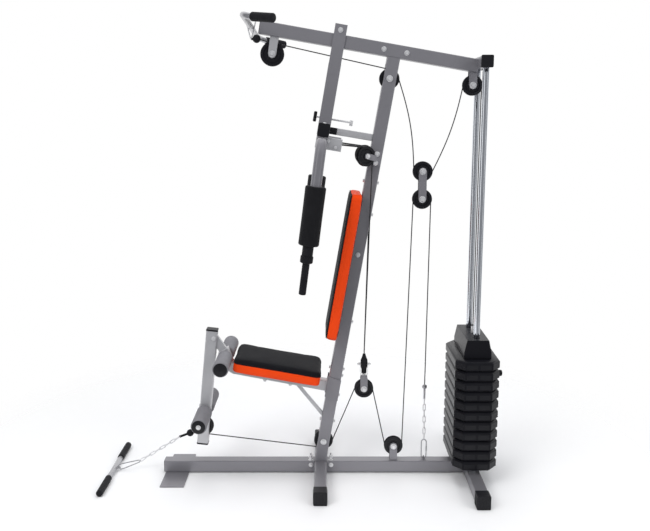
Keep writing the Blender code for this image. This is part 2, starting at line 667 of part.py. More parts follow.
hang = math.radians(7.4)
down = -Vector((math.sin(hang), 0, math.cos(hang)))
swings = {}
for tag, s in (("near", -1), ("far", 1)):
    hub = cross_at + Vector((0, s * HINGE_Y, 0)) - UP * (bar_w / 2 + 0.001)
    mid = hub - UP * 0.030
    turn = 0.045
    out = Vector((0, s, 0))
    knee_at = mid + out * (ARM_Y - HINGE_Y)
    path = [mid] + [knee_at + (down - out) * turn + out * turn * math.sin(a) - down * turn * math.cos(a)
                    for a in (math.pi / 2 * k / 4 for k in range(5))]
    foam_at = knee_at + down * 0.185
    tube_end = foam_at + down * (FOAM_L + 0.050)
    path.append(tube_end)
    arm = bend("butterfly_arm_" + tag, path, ARM_TUBE / 2, 14)
    lever_end = mid + BACK * 0.092
    lever = loft("lever", [[p + UP * v + out * u for u, v in rounded(0.034, 0.056, 0.004, 1)]
                           for p in (mid, lever_end)])
    collar = rod("collar", tube_end - down * 0.004, tube_end + down * 0.028, 0.0285, 20)
    grip = rod("grip", tube_end, tube_end + down * 0.174, 0.0165, 16)
    combine(arm, [rod("hub", hub, hub - UP * 0.058, 0.027, 20), lever, collar, grip])
    paint(arm, "steel")
    foam_in = bored(ARM_TUBE / 2 + GAP)
    foam = lathe("arm_foam_" + tag, [(foam_in, 0), (FOAM_R - 0.004, 0), (FOAM_R, 0.004), (FOAM_R, FOAM_L - 0.004),
                                     (FOAM_R - 0.004, FOAM_L), (foam_in, FOAM_L)], foam_at, down)
    paint(foam, "foam")

    at = on_upright(UP_LEN - 0.4929, 0.010)
    swivel = Vector((at[0], 0, at[1]))
    centre = Vector((swivel.x, s * (T / 2 + GAP + 0.0165), swivel.z))
    body = loft("mid_yoke_" + tag, [[centre + BACK * u + UP * v + out * w for u, v in rounded(0.044, 0.062, 0.004, 1)]
                                    for w in (-0.0165, 0.0165)])
    plane = Vector((-math.cos(MID_YAW), s * math.sin(MID_YAW), 0))
    normal = Vector((s * math.sin(MID_YAW), math.cos(MID_YAW), 0))
    wheel_at = centre + plane * 0.058 + Vector((0, 0, 0.011))
    inner = WHEEL_T / 2 + 0.0018
    cut(body, [rod("slot", wheel_at - normal * inner, wheel_at + normal * inner, WHEEL_R + 0.0105, 18)])
    straps = []
    for t in (-1, 1):
        ring = []
        for p, off in ((centre + plane * 0.0118, 90), (wheel_at, -90)):
            for k in range(5):
                a = math.radians(off + 45 * k)
                ring.append(p + plane * math.cos(a) * 0.014 + Vector((0, 0, math.sin(a) * 0.014)))
        straps.append(loft("strap", [[p + normal * t * d for p in ring] for d in (inner, inner + STRAP_T)]))
    far = inner + STRAP_T + 0.010
    straps.append(rod("axle", wheel_at - normal * far, wheel_at + normal * far, AXLE_R, 12))
    combine(body, straps)
    paint(body, "steel")
    wheel("mid_wheel_" + tag, (wheel_at.x, wheel_at.z), y=wheel_at.y, axis=normal)
    swings.update({"butterfly_arm_" + tag: hub, "arm_foam_" + tag: hub, "mid_wheel_" + tag: wheel_at})
    groove = WHEEL_R - GROOVE + CABLE_R + RIDE
    begin = lever_end + BACK * (GAP + CABLE_R * 0.62) + UP * 0.004
    over = []
    for k in range(8):
        a = math.radians(100 - 19 * k)
        over.append(wheel_at - plane * math.cos(a) * groove + Vector((0, 0, math.sin(a) * groove)))
    finish = Vector((SINGLE_WHEEL[0], s * 0.0040, SLEEVE_TOP + 0.0004))
    cable("press_cable_" + tag, [begin] + over + [over[-1].lerp(finish, k / 4) for k in (1, 2, 3)] + [finish])

# Leg lever and rollers

lever = sweep("leg_lever", [LEVER_END.xz, LEVER_TOP.xz], LEVER_W, 0.055)
axis = (LEVER_TOP - LEVER_END).normalized()
wheel_in = LEVER_END + axis * 0.090
cut(lever, [rod("slot", (wheel_in.x, -SLOT_W / 2, wheel_in.z), (wheel_in.x, SLOT_W / 2, wheel_in.z),
                WHEEL_R + SLOT_ROOM, 20),
            rod("slot", (LEVER_PIVOT.x, -0.0112, LEVER_PIVOT.z), (LEVER_PIVOT.x, 0.0112, LEVER_PIVOT.z), 0.0222, 20),
            block("slot", (LEVER_PIVOT.x - 0.0190, -0.0112, LEVER_PIVOT.z - 0.066),
                  (LEVER_PIVOT.x + 0.06, 0.0112, LEVER_PIVOT.z + 0.036))])
half = LEVER_W / 2 + 0.004
combine(lever, [rod("axle", (wheel_in.x, -half, wheel_in.z), (wheel_in.x, half, wheel_in.z), AXLE_R, 12),
                rod("pin", (LEVER_PIVOT.x, -half, LEVER_PIVOT.z), (LEVER_PIVOT.x, half, LEVER_PIVOT.z), 0.008, 16),
                rod("shaft", (ANKLE.x, -ROLLER_OUT - 0.004, ANKLE.z), (ANKLE.x, ROLLER_OUT + 0.004, ANKLE.z),
                    SHAFT_R, 16)])
paint(lever, "light")
for name, at in (("knee", KNEE), ("ankle", ANKLE)):
    for tag, s in (("near", -1), ("far", 1)):
        n = ROLLER_OUT - ROLLER_IN
        bore = bored(SHAFT_R + RUN)
        roller = lathe(f"{name}_roller_{tag}", [(bore, 0), (ROLLER_R - 0.006, 0), (ROLLER_R, 0.006),
                                                (ROLLER_R, n - 0.006), (ROLLER_R - 0.006, n), (bore, n)],
                       (at.x, s * ROLLER_IN, at.z), (0, s, 0))
        paint(roller, "foam")

# Wheels, cables and floating straps

wheels = {"front_wheel": FRONT_WHEEL, "second_wheel": SECOND_WHEEL, "rear_wheel": REAR_WHEEL,
          "foot_wheel": FOOT_WHEEL, "floor_wheel": FLOOR_WHEEL, "lever_wheel": (wheel_in.x, wheel_in.z),
          "single_wheel": SINGLE_WHEEL, "double_wheel_upper": DOUBLE_UPPER, "double_wheel_lower": DOUBLE_LOWER}
for name, at in wheels.items():
    wheel(name, at, FRONT_WHEEL_R if name == "front_wheel" else WHEEL_R)

gap_y = WHEEL_T / 2 + 0.0018
double = strap("double_strap", DOUBLE_LOWER, DOUBLE_UPPER, STRAP_W, -gap_y - STRAP_T, -gap_y)
others = [strap("strap", DOUBLE_LOWER, DOUBLE_UPPER, STRAP_W, gap_y, gap_y + STRAP_T)]
others += [rod("axle", (w[0], -gap_y - STRAP_T - 0.005, w[1]), (w[0], gap_y + STRAP_T + 0.005, w[1]), AXLE_R, 12)
           for w in (DOUBLE_LOWER, DOUBLE_UPPER)]
combine(double, others)
paint(double, "steel")

sx, sz = SINGLE_WHEEL
bridge_z = sz + WHEEL_R + 0.006
yoke = strap("single_yoke", (sx, bridge_z + 0.004), SINGLE_WHEEL, 0.036, -gap_y - STRAP_T, -gap_y)
others = [strap("strap", (sx, bridge_z + 0.004), SINGLE_WHEEL, 0.036, gap_y, gap_y + STRAP_T),
          block("bridge", (sx - 0.016, -gap_y - 0.001, bridge_z), (sx + 0.016, gap_y + 0.001, bridge_z + 0.005)),
          rod("sleeve", (sx, 0, bridge_z + 0.002), (sx, 0, SLEEVE_TOP), 0.0150, 16),
          rod("axle", (sx, -gap_y - STRAP_T - 0.005, sz), (sx, gap_y + STRAP_T + 0.005, sz), AXLE_R, 12)]
combine(yoke, others)
paint(yoke, "steel")

def off_ball(points, r):
    """The route with its first point moved out of the ball stop that it starts in."""
    first, after = Vector(points[0]), Vector(points[1])
    return [first + (after - first).normalized() * (r + GAP)] + points[1:]


groove = WHEEL_R - GROOVE + CABLE_R + RIDE
wide_groove = FRONT_WHEEL_R - GROOVE + CABLE_R + RIDE
lat_ball_r = 0.0190
lat_end = (REAR_WHEEL[0] + groove, REAR_WHEEL[1] - 0.012)
lat_route = belt([(LAT_BALL, 0, 1), (FRONT_WHEEL, wide_groove, -1), (SECOND_WHEEL, groove, -1),
                  (DOUBLE_UPPER, groove, 1), (REAR_WHEEL, groove, -1), (lat_end, 0, 1)],
                 bows=((2, -0.020), (3, 0.018)))
cable("lat_cable", off_ball(lat_route, lat_ball_r))
eye_z = base_z + BLOCK_H + 0.030
drop = [(lat_end[0], 0, lat_end[1] - GAP), (STACK_X, 0, eye_z + GAP)]
cable("stack_cable", [Vector(drop[0]).lerp(Vector(drop[1]), k / 6) for k in range(7)])

low_ball = Vector((wheel_in.x - 0.072, 0, wheel_in.z - 0.0395))
low_ball_r = 0.0180
anchor = (0.6300, 0.446)
anchor_ball_r = 0.0120
low_route = belt([(low_ball.xz, 0, 1), (wheel_in.xz, groove, 1), (FOOT_WHEEL, groove, 1), (SINGLE_WHEEL, groove, -1),
                  (FLOOR_WHEEL, groove, 1), (DOUBLE_LOWER, groove, -1),
                  ((anchor[0], anchor[1] + anchor_ball_r + GAP), 0, 1)])
cable("low_cable", off_ball(low_route, low_ball_r))

snap_low = top + 0.0045
clip = link("clip", (eye_x, 0, (snap_low - 0.0028 + 0.170) / 2), (0, 0, 1), (1, 0, 0),
            0.170 - snap_low + 0.0028, 0.030, 0.0028, 5)
tail = chain("anchor_link", (anchor[0], 0, 0.384), (eye_x, 0, 0.167), 7, 0.016, 0.0024)
anchor_chain = ball("anchor_chain", (anchor[0], 0, anchor[1]), anchor_ball_r)
combine(anchor_chain, [rod("shank", (anchor[0], 0, anchor[1]), (anchor[0], 0, 0.381), 0.005, 10)] + tail + [clip])
paint(anchor_chain, "zinc")

# Lat bar and low bar

bar_r, wire_r = 0.0125, 0.0030
hook_half, hook_h = 0.0255, 0.095
bar_x = HOOK_LOW[0]
bar_z = HOOK_LOW[1] + (bar_r + wire_r + 2 * GAP) / math.sin(math.atan(hook_half / hook_h))
side_path = [(bar_x + 0.131, 0.455, bar_z - 0.022), (bar_x + 0.026, 0.387, bar_z - 0.0035),
             (bar_x + 0.010, 0.372, bar_z - 0.0010), (bar_x, 0.350, bar_z)]
lat_bar = bend("lat_bar", [(x, -y, z) for x, y, z in side_path] + side_path[::-1], bar_r, 14)
ends = []
for s in (-1, 1):
    a, b = (Vector((p[0], s * p[1], p[2])) for p in side_path[:2])
    tip = a + (a - b).normalized() * 0.004
    ends.append(rod("grip", tip, a.lerp(b, 0.88), 0.0190, 16))
combine(lat_bar, ends)
paint(lat_bar, "black")
loop = [Vector((bar_x - hook_half, 0, HOOK_LOW[1] + hook_h)), Vector((bar_x + hook_half, 0, HOOK_LOW[1] + hook_h)),
        Vector((bar_x, 0, HOOK_LOW[1]))]
rings = []
for i, p in enumerate(loop):
    a, b = (loop[i - 1] - p).normalized(), (loop[(i + 1) % 3] - p).normalized()
    for q, d in ((p + a * 0.010, -a), (p + (a + b).normalized() * 0.004, (b - a).normalized()), (p + b * 0.010, b)):
        n = Vector((0, 1, 0)).cross(d).normalized()
        rings.append([q + (n * math.cos(t) + Vector((0, 1, 0)) * math.sin(t)) * wire_r
                      for t in (2 * math.pi * j / 8 for j in range(8))])
lat_hook = ball("lat_hook", (LAT_BALL[0], 0, LAT_BALL[1]), lat_ball_r, 16)
combine(lat_hook, [loft("loop", rings, True, closed=True),
                   rod("shank", (bar_x + 0.001, 0, HOOK_LOW[1] + 0.004), (LAT_BALL[0], 0, LAT_BALL[1]), 0.005, 10)])
paint(lat_hook, "black")

low_x, low_r, grip_r = -0.931, 0.0125, 0.0162
low_bar = rod("low_bar", (low_x, -0.285, grip_r), (low_x, 0.285, grip_r), low_r, 16)
grips = [rod("grip", (low_x, *sorted((s * 0.290, s * 0.160))[0:1], grip_r),
             (low_x, *sorted((s * 0.290, s * 0.160))[1:2], grip_r), grip_r, 16) for s in (-1, 1)]
ring = bend("ring", [(low_x + 0.008 + 0.020 * math.sin(a), 0.013 * math.cos(a), grip_r)
                     for a in (math.pi * k / 6 for k in range(7))], 0.003, 8)
combine(low_bar, grips + [ring])
paint(low_bar, "black")

chain_a = low_ball + Vector((-0.052, 0, -0.020))
chain_b = Vector((-0.800, 0, 0.053))
clip_b = Vector((low_x + 0.0195, 0, grip_r + 0.001))
clip_way = (clip_b - chain_b).normalized()
clip = link("clip", (chain_b + clip_b) / 2, clip_way, clip_way.cross(Vector((0, 1, 0))),
            (clip_b - chain_b).length + 0.0062, 0.030, 0.0026, 5)
low_chain = ball("low_chain", low_ball, low_ball_r, 14)
combine(low_chain, [rod("shank", low_ball, chain_a + Vector((-0.003, 0, -0.0012)), 0.0055, 10)]
        + chain("low_link", chain_a, chain_b, 8, 0.016, 0.0024) + [clip])
paint(low_chain, "zinc")

# Origins of the moving pieces on their joints, and the footprint centred on the world's origin

xs = [v.co.x for obj in bpy.data.objects for v in obj.data.vertices]
middle = Vector(((min(xs) + max(xs)) / 2, 0, 0))
joints = {"press_arm": PIVOT, "leg_lever": LEVER_PIVOT, "lock_rod": lock_at, "top_block": Vector((STACK_X, 0, base_z)),
          "lifted_plates": Vector((STACK_X, 0, base_z)), "selector_pin": Vector((STACK_X, 0, pin_z)),
          "lat_hook": Vector((LAT_BALL[0], 0, LAT_BALL[1])), "lat_bar": Vector((bar_x, 0, bar_z)),
          "low_chain": low_ball, "low_bar": Vector((low_x, 0, grip_r)), "single_yoke": Vector((sx, 0, sz)),
          "double_strap": Vector((DOUBLE_UPPER[0], 0, DOUBLE_UPPER[1]))}
joints.update({name: Vector((at[0], 0, at[1])) for name, at in wheels.items()})
joints.update({f"{kind}_roller_{tag}": at for kind, at in (("knee", KNEE), ("ankle", ANKLE)) for tag in ("near", "far")})
joints.update(swings)
for obj in bpy.data.objects:
    origin = joints.get(obj.name, middle)
    obj.data.transform(Matrix.Translation(-origin))
    obj.location = origin - middle
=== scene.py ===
"""Looks of a home multi gym: painted tubes, pads, foams, pulleys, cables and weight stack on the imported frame.

Written as an add-on and run as a script. Metres, Z up, X from the seat to the weight stack.
"""
import bpy
import bmesh
import json
import math
from bpy.props import FloatProperty, FloatVectorProperty, IntProperty, PointerProperty
from mathutils import Matrix, Vector


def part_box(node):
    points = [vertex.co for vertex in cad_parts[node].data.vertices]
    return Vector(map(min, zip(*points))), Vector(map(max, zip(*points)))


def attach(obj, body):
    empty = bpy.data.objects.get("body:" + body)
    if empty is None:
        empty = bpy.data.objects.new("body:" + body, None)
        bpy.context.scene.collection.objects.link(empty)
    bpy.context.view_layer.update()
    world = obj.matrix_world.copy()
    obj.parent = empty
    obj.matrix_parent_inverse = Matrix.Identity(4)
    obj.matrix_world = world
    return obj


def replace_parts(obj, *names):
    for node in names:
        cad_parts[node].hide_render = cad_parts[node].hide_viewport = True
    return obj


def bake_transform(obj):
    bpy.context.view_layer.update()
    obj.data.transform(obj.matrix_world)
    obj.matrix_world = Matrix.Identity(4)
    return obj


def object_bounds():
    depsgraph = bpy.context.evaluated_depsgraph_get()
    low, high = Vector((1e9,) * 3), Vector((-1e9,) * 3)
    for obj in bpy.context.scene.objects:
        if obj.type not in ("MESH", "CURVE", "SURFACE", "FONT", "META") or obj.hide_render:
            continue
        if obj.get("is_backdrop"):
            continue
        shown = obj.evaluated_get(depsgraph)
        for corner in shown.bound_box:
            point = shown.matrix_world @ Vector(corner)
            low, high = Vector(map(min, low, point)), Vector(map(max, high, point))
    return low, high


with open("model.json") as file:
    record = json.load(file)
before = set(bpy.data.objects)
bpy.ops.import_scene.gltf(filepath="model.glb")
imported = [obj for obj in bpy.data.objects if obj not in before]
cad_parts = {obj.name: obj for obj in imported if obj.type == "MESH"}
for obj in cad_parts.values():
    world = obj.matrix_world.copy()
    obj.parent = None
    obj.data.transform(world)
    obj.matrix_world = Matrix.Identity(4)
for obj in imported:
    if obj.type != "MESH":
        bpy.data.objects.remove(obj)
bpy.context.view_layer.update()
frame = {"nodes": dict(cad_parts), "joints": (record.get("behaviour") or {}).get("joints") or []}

bl_info = {
    "name": "Multi Gym",
    "version": (1, 0, 0),
    "blender": (4, 5, 0),
    "location": "View3D > Sidebar > Multi Gym",
    "description": "Dresses the multi gym's frame with its paint, pads, pulleys and cables",
    "category": "Object",
}


def centre(node):
    """The middle of a CAD node's box."""
    low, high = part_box(node)
    return (low + high) / 2


def joint_at(name):
    """Where a joint of the frame turns or starts."""
    return Vector(next(j for j in frame["joints"] if j["name"] == name)["pos_m"])


# Lines and places of the frame, in metres
LEAN = math.radians(9.8)
UP = Vector((math.sin(LEAN), 0, math.cos(LEAN)))        # up the upright
BACK = Vector((math.cos(LEAN), 0, -math.sin(LEAN)))     # along the top beam to the rear
SIDE = Vector((0, 1, 0))
TUBE = 0.060                                            # width of the square tubes
UPRIGHT = 2.0107                                        # from the bend to the axis of the top beam
GAP = 0.0003                                            # between pieces that touch
BEAM_TOP = 0.065                                        # top of the base beam
FOOT = Vector((centre("centre_stabiliser").x, 0, 0.080))   # where the upright starts to lean
SOLID_BEND = 0.126                                      # where its solid does, which stands 8 mm further forward
SEAT_PITCH = math.radians(10.164)                       # the seat's tube rises to the front
SEAT_BEND = Vector((-0.3174, 0, 0.5325))                # the tube's front bend in its solid
SEAT_MOVE = Vector((-0.025, 0, 0.0045))                 # from there to the real bend
STACK = Vector((centre("rear_stabiliser").x, 0, 0))
PIVOT = joint_at("press_swing")
CROSS = PIVOT - UP * 0.452                              # crossbar of the press arm
LEVER_PIVOT = joint_at("leg_lift")
LEVER_TOP = Vector((-0.4484, 0, 0.753))                 # upper end of the lever's tube in its solid
LEVER_CUT = Vector((-0.0013, 0, -0.0119))               # from the solid's end to the real one
KNEE = centre("knee_roller_near")
ANKLE = centre("ankle_roller_near")
CROSSPIECE_Z = 2.010                                    # crosspiece at the top of the guide rods
WHEEL_R = 0.047
FRONT_WHEEL_R = 0.055
WHEEL_T = 0.022
GROOVE = 0.0085                                         # depth of a wheel's groove
CABLE_R = 0.0026
SLEEVE_R = 0.0038                                       # sleeved part of the press cables
CABLE_IN = GROOVE - CABLE_R - 0.0008                    # the cable's line is this far inside the rim
LAT_BALL = Vector((-0.2114, 0, 2.1175))                 # ball stop of the lat cable
LAT_X, LAT_Z = -0.2369, 2.112                           # foot of the lat hook
LAT_BAR_R = 0.0135
LOW_BALL = centre("lever_wheel") + Vector((-0.072, 0, -0.0395))
LOW_BAR = Vector((-0.9634, 0, 0.0162))                  # middle of the low bar, which lies on the floor
LOW_LINK_END = Vector((-0.8324, 0, 0.053))              # where the low chain meets its snap link
ANCHOR = Vector((0.5976, 0, 0.446))                     # ball stop at the fixed end of the low cable
ANCHOR_EYE = Vector((0.6006, 0, 0.0695))                # eye on the base beam that holds the snap link
ANCHOR_LINK_END = 0.170                                 # height where the chain meets its snap link
PRESS_END_Z = 0.6206                                    # where the press cables enter the fork's sleeve
FORK_TOP = 0.0700                                       # top of the single fork above its axle
CAP_Y = 0.1300                                          # where the crosspiece's caps start
CROSSBAR_Y = 0.1850                                     # half length of the press arm's crossbar
LEVER_FOOT = Vector((-0.5124, 0, 0.153))                # lower end of the lever's tube
BEAM_FRONT_X = -0.1944                                  # front end of the top beam
BEAM_BOLTS_X = (0.372, 0.477)                           # crosswise bolts of the top beam
BASE_BOLTS_X = (0.032, 0.133)                           # and of the base beam
BASE_BOLT_Z = 0.044                                     # height of those of the base beam
PIN_BOLT_Z = 1.116                                      # crosswise bolt of the upright
THROUGH_BOLTS_Z = (1.463, 1.311, 0.785, 0.544, 0.274)   # bolts from front to rear of the upright
SEAT_BOLTS_X = (-0.195, -0.070)                         # bolts under the seat
REAR_BOLTS_Z = (0.510, 0.411)                           # bolts of the seat's saddle
ARM_REACH = 0.180                                       # from the hub of a butterfly arm to its bend
ARM_BEND = 0.045                                        # radius of the bend
ARM_LEVER = 0.092                                       # from the hub to the cable's end
ARM_DROP = 0.030                                        # the arm's tube below its hub
ARM_R = 0.0240                                          # radius of its tube
FOAM_ALONG = 0.185                                      # from the bend to the foam
ARM_END = 0.312                                         # from the start of the foam to the tube's end
PLATES = 11
LIFTED = 3                                              # plates on the carriage
PITCH = 0.0497                                          # from plate to plate
STACK_Z = 0.0886                                        # underside of the lowest plate
WHEELS = ("front_wheel", "second_wheel", "rear_wheel", "foot_wheel", "floor_wheel", "lever_wheel",
          "single_wheel", "double_wheel_upper", "double_wheel_lower", "mid_wheel_near", "mid_wheel_far")


def on_upright(along, off=0.0, y=0.0):
    """A point at a distance up the upright from its bend, off to the rear of its axis."""
    return FOOT + UP * along + BACK * off + SIDE * y


def at_height(z, off=0.0):
    """A point at height z on the upright's axis, off to its rear."""
    return on_upright((z - FOOT.z) / UP.z, off)


def on_beam(x, off=0.0):
    """A point on the top beam's axis at x, off above it."""
    crossing = on_upright(UPRIGHT)
    z = crossing.z - (x - crossing.x) * math.tan(LEAN)
    return Vector((x, 0, z)) + UP * off


def mid_axle(s):
    """The axle of the near (-1) or the far (1) middle wheel, turned 30 degrees from the crosswise line."""
    return Vector((s * 0.5, 0.866, 0))


# Shader maths

class Value:
    """A socket of a finish, so that sums on it can be written as Python."""

    def __init__(self, finish, socket):
        self.finish, self.socket = finish, socket

    def maths(self, operation, *terms):
        kind = "VectorMath" if any(isinstance(t, tuple) for t in terms) else "Math"
        return self.finish.node(kind, {"operation": operation}, terms)

    def __add__(self, other):
        return self.maths("ADD", self, other)

    def __sub__(self, other):
        return self.maths("SUBTRACT", self, other)

    def __rsub__(self, other):
        return self.maths("SUBTRACT", other, self)

    def __mul__(self, other):
        return self.maths("MULTIPLY", self, other)

    def clipped(self):
        return self.finish.node("Clamp", {}, {"Value": self})

    __radd__ = __add__
    __rmul__ = __mul__


class Finish:
    """A material built from expressions."""

    def __init__(self, name, roughness=0.5, metallic=0.0, **fixed):
        self.material = bpy.data.materials.new(name)
        self.material.use_nodes = True
        self.tree = self.material.node_tree
        self.shader = self.tree.nodes["Principled BSDF"]
        self.place = self.node("TexCoord", {}, {}, "Object")
        self.set("Roughness", roughness)
        self.set("Metallic", metallic)
        for socket, value in fixed.items():
            self.set(socket.replace("_", " "), value)

    def node(self, kind, settings, values, out=0):
        """Adds a node: its settings first, then a value or a link for each socket."""
        made = self.tree.nodes.new("ShaderNode" + kind)
        for key, value in settings.items():
            setattr(made, key, value)
        pairs = values.items() if isinstance(values, dict) else enumerate(values)
        for key, value in pairs:
            if isinstance(value, Value):
                self.tree.links.new(value.socket, made.inputs[key])
            else:
                made.inputs[key].default_value = value
        return Value(self, made.outputs[out])

    def set(self, socket, value):
        if isinstance(value, Value):
            self.tree.links.new(value.socket, self.shader.inputs[socket])
        else:
            self.shader.inputs[socket].default_value = value

    def noise(self, scale, detail=2.0, stretch=(1, 1, 1), rough=0.5):
        spot = self.node("Mapping", {}, {"Vector": self.place, "Scale": stretch})
        return self.node("TexNoise", {}, {"Vector": spot, "Scale": scale, "Detail": detail, "Roughness": rough})

    def cells(self, scale, feature="F1"):
        return self.node("TexVoronoi", {"feature": feature}, {"Vector": self.place, "Scale": scale}, "Distance")

    def blend(self, share, first, second):
        """Mixes two colours by a share."""
        first, second = (c if isinstance(c, Value) else (*c[:3], 1) for c in (first, second))
        made = self.tree.nodes.new("ShaderNodeMix")
        made.data_type = "RGBA"
        for socket, value in zip((made.inputs[0], made.inputs[6], made.inputs[7]), (share, first, second)):
            if isinstance(value, Value):
                self.tree.links.new(value.socket, socket)
            else:
                socket.default_value = value
        return Value(self, made.outputs[2])

    def bump(self, height, distance, strength=1.0):
        values = {"Height": height, "Distance": distance, "Strength": strength}
        self.set("Normal", self.node("Bump", {}, values, "Normal"))


def shade(colour, factor):
    """A colour made darker or lighter."""
    return tuple(min(c * factor, 1.0) for c in colour[:3])


# A surface is (fixed sockets, (noise, dark, light) of its colour, (lowest, noise, swing) of its roughness, and its
# bump's (noise, distance, strength) or None). Noise is given as the arguments of Finish.noise.
SURFACES = {
    "black plastic": ({"Specular_IOR_Level": 0.30}, ((9.0,), (0.006, 0.006, 0.008), (0.013, 0.013, 0.016)),
                      (0.34, (120.0,), 0.16), ((1800.0, 2), 0.00010, 0.5)),
    "wheel plastic": ({"Specular_IOR_Level": 0.35}, ((14.0,), (0.004, 0.004, 0.006), (0.010, 0.010, 0.013)),
                      (0.23, (90.0,), 0.14), ((900.0, 2), 0.00008, 0.5)),
    "rubber": ({"Specular_IOR_Level": 0.25}, ((30.0,), (0.006, 0.006, 0.008), (0.014, 0.014, 0.017)),
               (0.56, (200.0,), 0.12), ((1500.0, 2), 0.00015, 0.6)),
    "thread": ({}, ((1200.0, 1), (0.02, 0.02, 0.022), (0.05, 0.05, 0.055)), (0.65, (1200.0, 1), 0.1), None),
    "chrome": ({"metallic": 1.0}, ((12.0,), (0.78, 0.81, 0.86), (0.84, 0.87, 0.91)),
               (0.12, (30.0, 3, (1, 1, 0.2)), 0.05), None),
    "zinc": ({"metallic": 0.60}, ((180.0, 2), (0.76, 0.76, 0.77), (0.90, 0.90, 0.91)),
             (0.24, (260.0, 2), 0.14), ((900.0, 2), 0.00008, 0.4)),
    "bare steel": ({"metallic": 0.9}, ((40.0, 2, (1, 0.1, 1)), (0.42, 0.42, 0.44), (0.55, 0.55, 0.57)),
                   (0.22, (220.0, 2, (1, 0.06, 1)), 0.14), None),
    "cable coat": ({"Coat_Weight": 0.3, "Coat_Roughness": 0.2},
                   ((60.0,), (0.008, 0.008, 0.009), (0.018, 0.018, 0.020)),
                   (0.27, (500.0,), 0.14), ((1100.0, 1), 0.00010, 0.4)),
    "stack paint": ({"Specular_IOR_Level": 0.16, "Coat_Weight": 0.03, "Coat_Roughness": 0.15},
                    ((6.0, 3), (0.005, 0.005, 0.007), (0.011, 0.011, 0.014)),
                    (0.26, (90.0, 3), 0.16), ((420.0, 3), 0.00025, 0.45)),
}
MADE = {}


def finish(kind):
    """The material of one kind, made once."""
    if kind in MADE:
        return MADE[kind]
    look = bpy.context.scene.gym_look
    if kind in SURFACES:
        fixed, (spots, dark, light), (low, grain, swing), bump = SURFACES[kind]
        f = Finish(kind, **fixed)
        f.set("Base Color", f.blend(f.noise(*spots), dark, light))
        f.set("Roughness", f.noise(*grain) * swing + low)
        if bump:
            f.bump(f.noise(*bump[0]), *bump[1:])
    elif kind in ("tube paint", "light paint"):
        base = look.light_paint if kind == "light paint" else look.paint
        f = Finish(kind, metallic=0.45, Coat_Weight=0.10, Coat_Roughness=0.25)
        f.set("Base Color", f.blend(f.noise(4.0, 3), shade(base, 0.93), shade(base, 1.07)))
        f.set("Roughness", look.paint_roughness + (f.noise(60.0) - 0.5) * 0.10)
        f.bump(f.noise(1400.0, 1), 0.00012, 0.35)
    elif kind in ("grey foam", "black foam"):
        grey = kind == "grey foam"
        f = Finish(kind, Specular_IOR_Level=0.50 if grey else 0.20)
        dark, light = ((shade(look.foam, 0.86), shade(look.foam, 1.12)) if grey
                       else ((0.006, 0.006, 0.007), (0.013, 0.013, 0.015)))
        f.set("Base Color", f.blend(f.noise(25.0, 3), dark, light))
        f.set("Roughness", (0.80 if grey else 0.66) + (f.noise(80.0) - 0.5) * (0.12 if grey else 0.14))
        cells = f.cells(620.0 if grey else 700.0) + f.noise(300.0, 3) * 0.6
        f.bump(cells, *((0.0006, 0.5) if grey else (0.0005, 0.45)))
    elif kind in ("black cover", "orange cover"):
        base = look.cover if kind == "black cover" else look.band
        f = Finish(kind, Specular_IOR_Level=0.05 if kind == "black cover" else 0.20)
        pebble = (f.cells(420.0, "DISTANCE_TO_EDGE") * 9.0).clipped()
        f.set("Base Color", f.blend(f.noise(7.0, 3), shade(base, 0.90), shade(base, 1.10)))
        f.set("Roughness", 0.52 + (1 - pebble) * 0.12 + (f.noise(20.0) - 0.5) * 0.10)
        f.bump(pebble * 0.7 + f.noise(1600.0, 2) * 0.3, 0.00035, 0.45)
    else:
        raise ValueError(kind)
    f.material.diffuse_color = (*f.shader.inputs["Base Color"].default_value[:3], 1)
    MADE[kind] = f.material
    return f.material


# Shapes

def piece(name, bm, kinds, body=None, crease=35.0, stands_for=()):
    """A mesh of the object with its finishes, riding on a body and standing for CAD nodes."""
    bmesh.ops.remove_doubles(bm, verts=bm.verts, dist=1e-6)
    bmesh.ops.recalc_face_normals(bm, faces=bm.faces)
    for face in bm.faces:
        face.smooth = True
    for edge in bm.edges:
        edge.smooth = len(edge.link_faces) == 2 and edge.calc_face_angle(0) < math.radians(crease)
    mesh = bpy.data.meshes.new(name)
    bm.to_mesh(mesh)
    bm.free()
    for kind in ([kinds] if isinstance(kinds, str) else kinds):
        mesh.materials.append(finish(kind))
    obj = bpy.data.objects.new(name, mesh)
    bpy.context.scene.collection.objects.link(obj)
    if stands_for:
        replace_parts(obj, *stands_for)
    if body:
        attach(obj, body)
    return obj


def add_loft(bm, rings, closed=False, material=0):
    """Faces through rings of points, with a face on the first and on the last unless they join."""
    loops = [[bm.verts.new(p) for p in ring] for ring in rings]
    count = len(loops[0])
    pairs = list(zip(loops, loops[1:])) + ([(loops[-1], loops[0])] if closed else [])
    faces = []
    for a, b in pairs:
        for i in range(count):
            j = (i + 1) % count
            faces.append(bm.faces.new((a[i], a[j], b[j], b[i])))
    if not closed:
        faces += [bm.faces.new(loops[0][::-1]), bm.faces.new(loops[-1])]
    for face in faces:
        face.material_index = material
    return faces


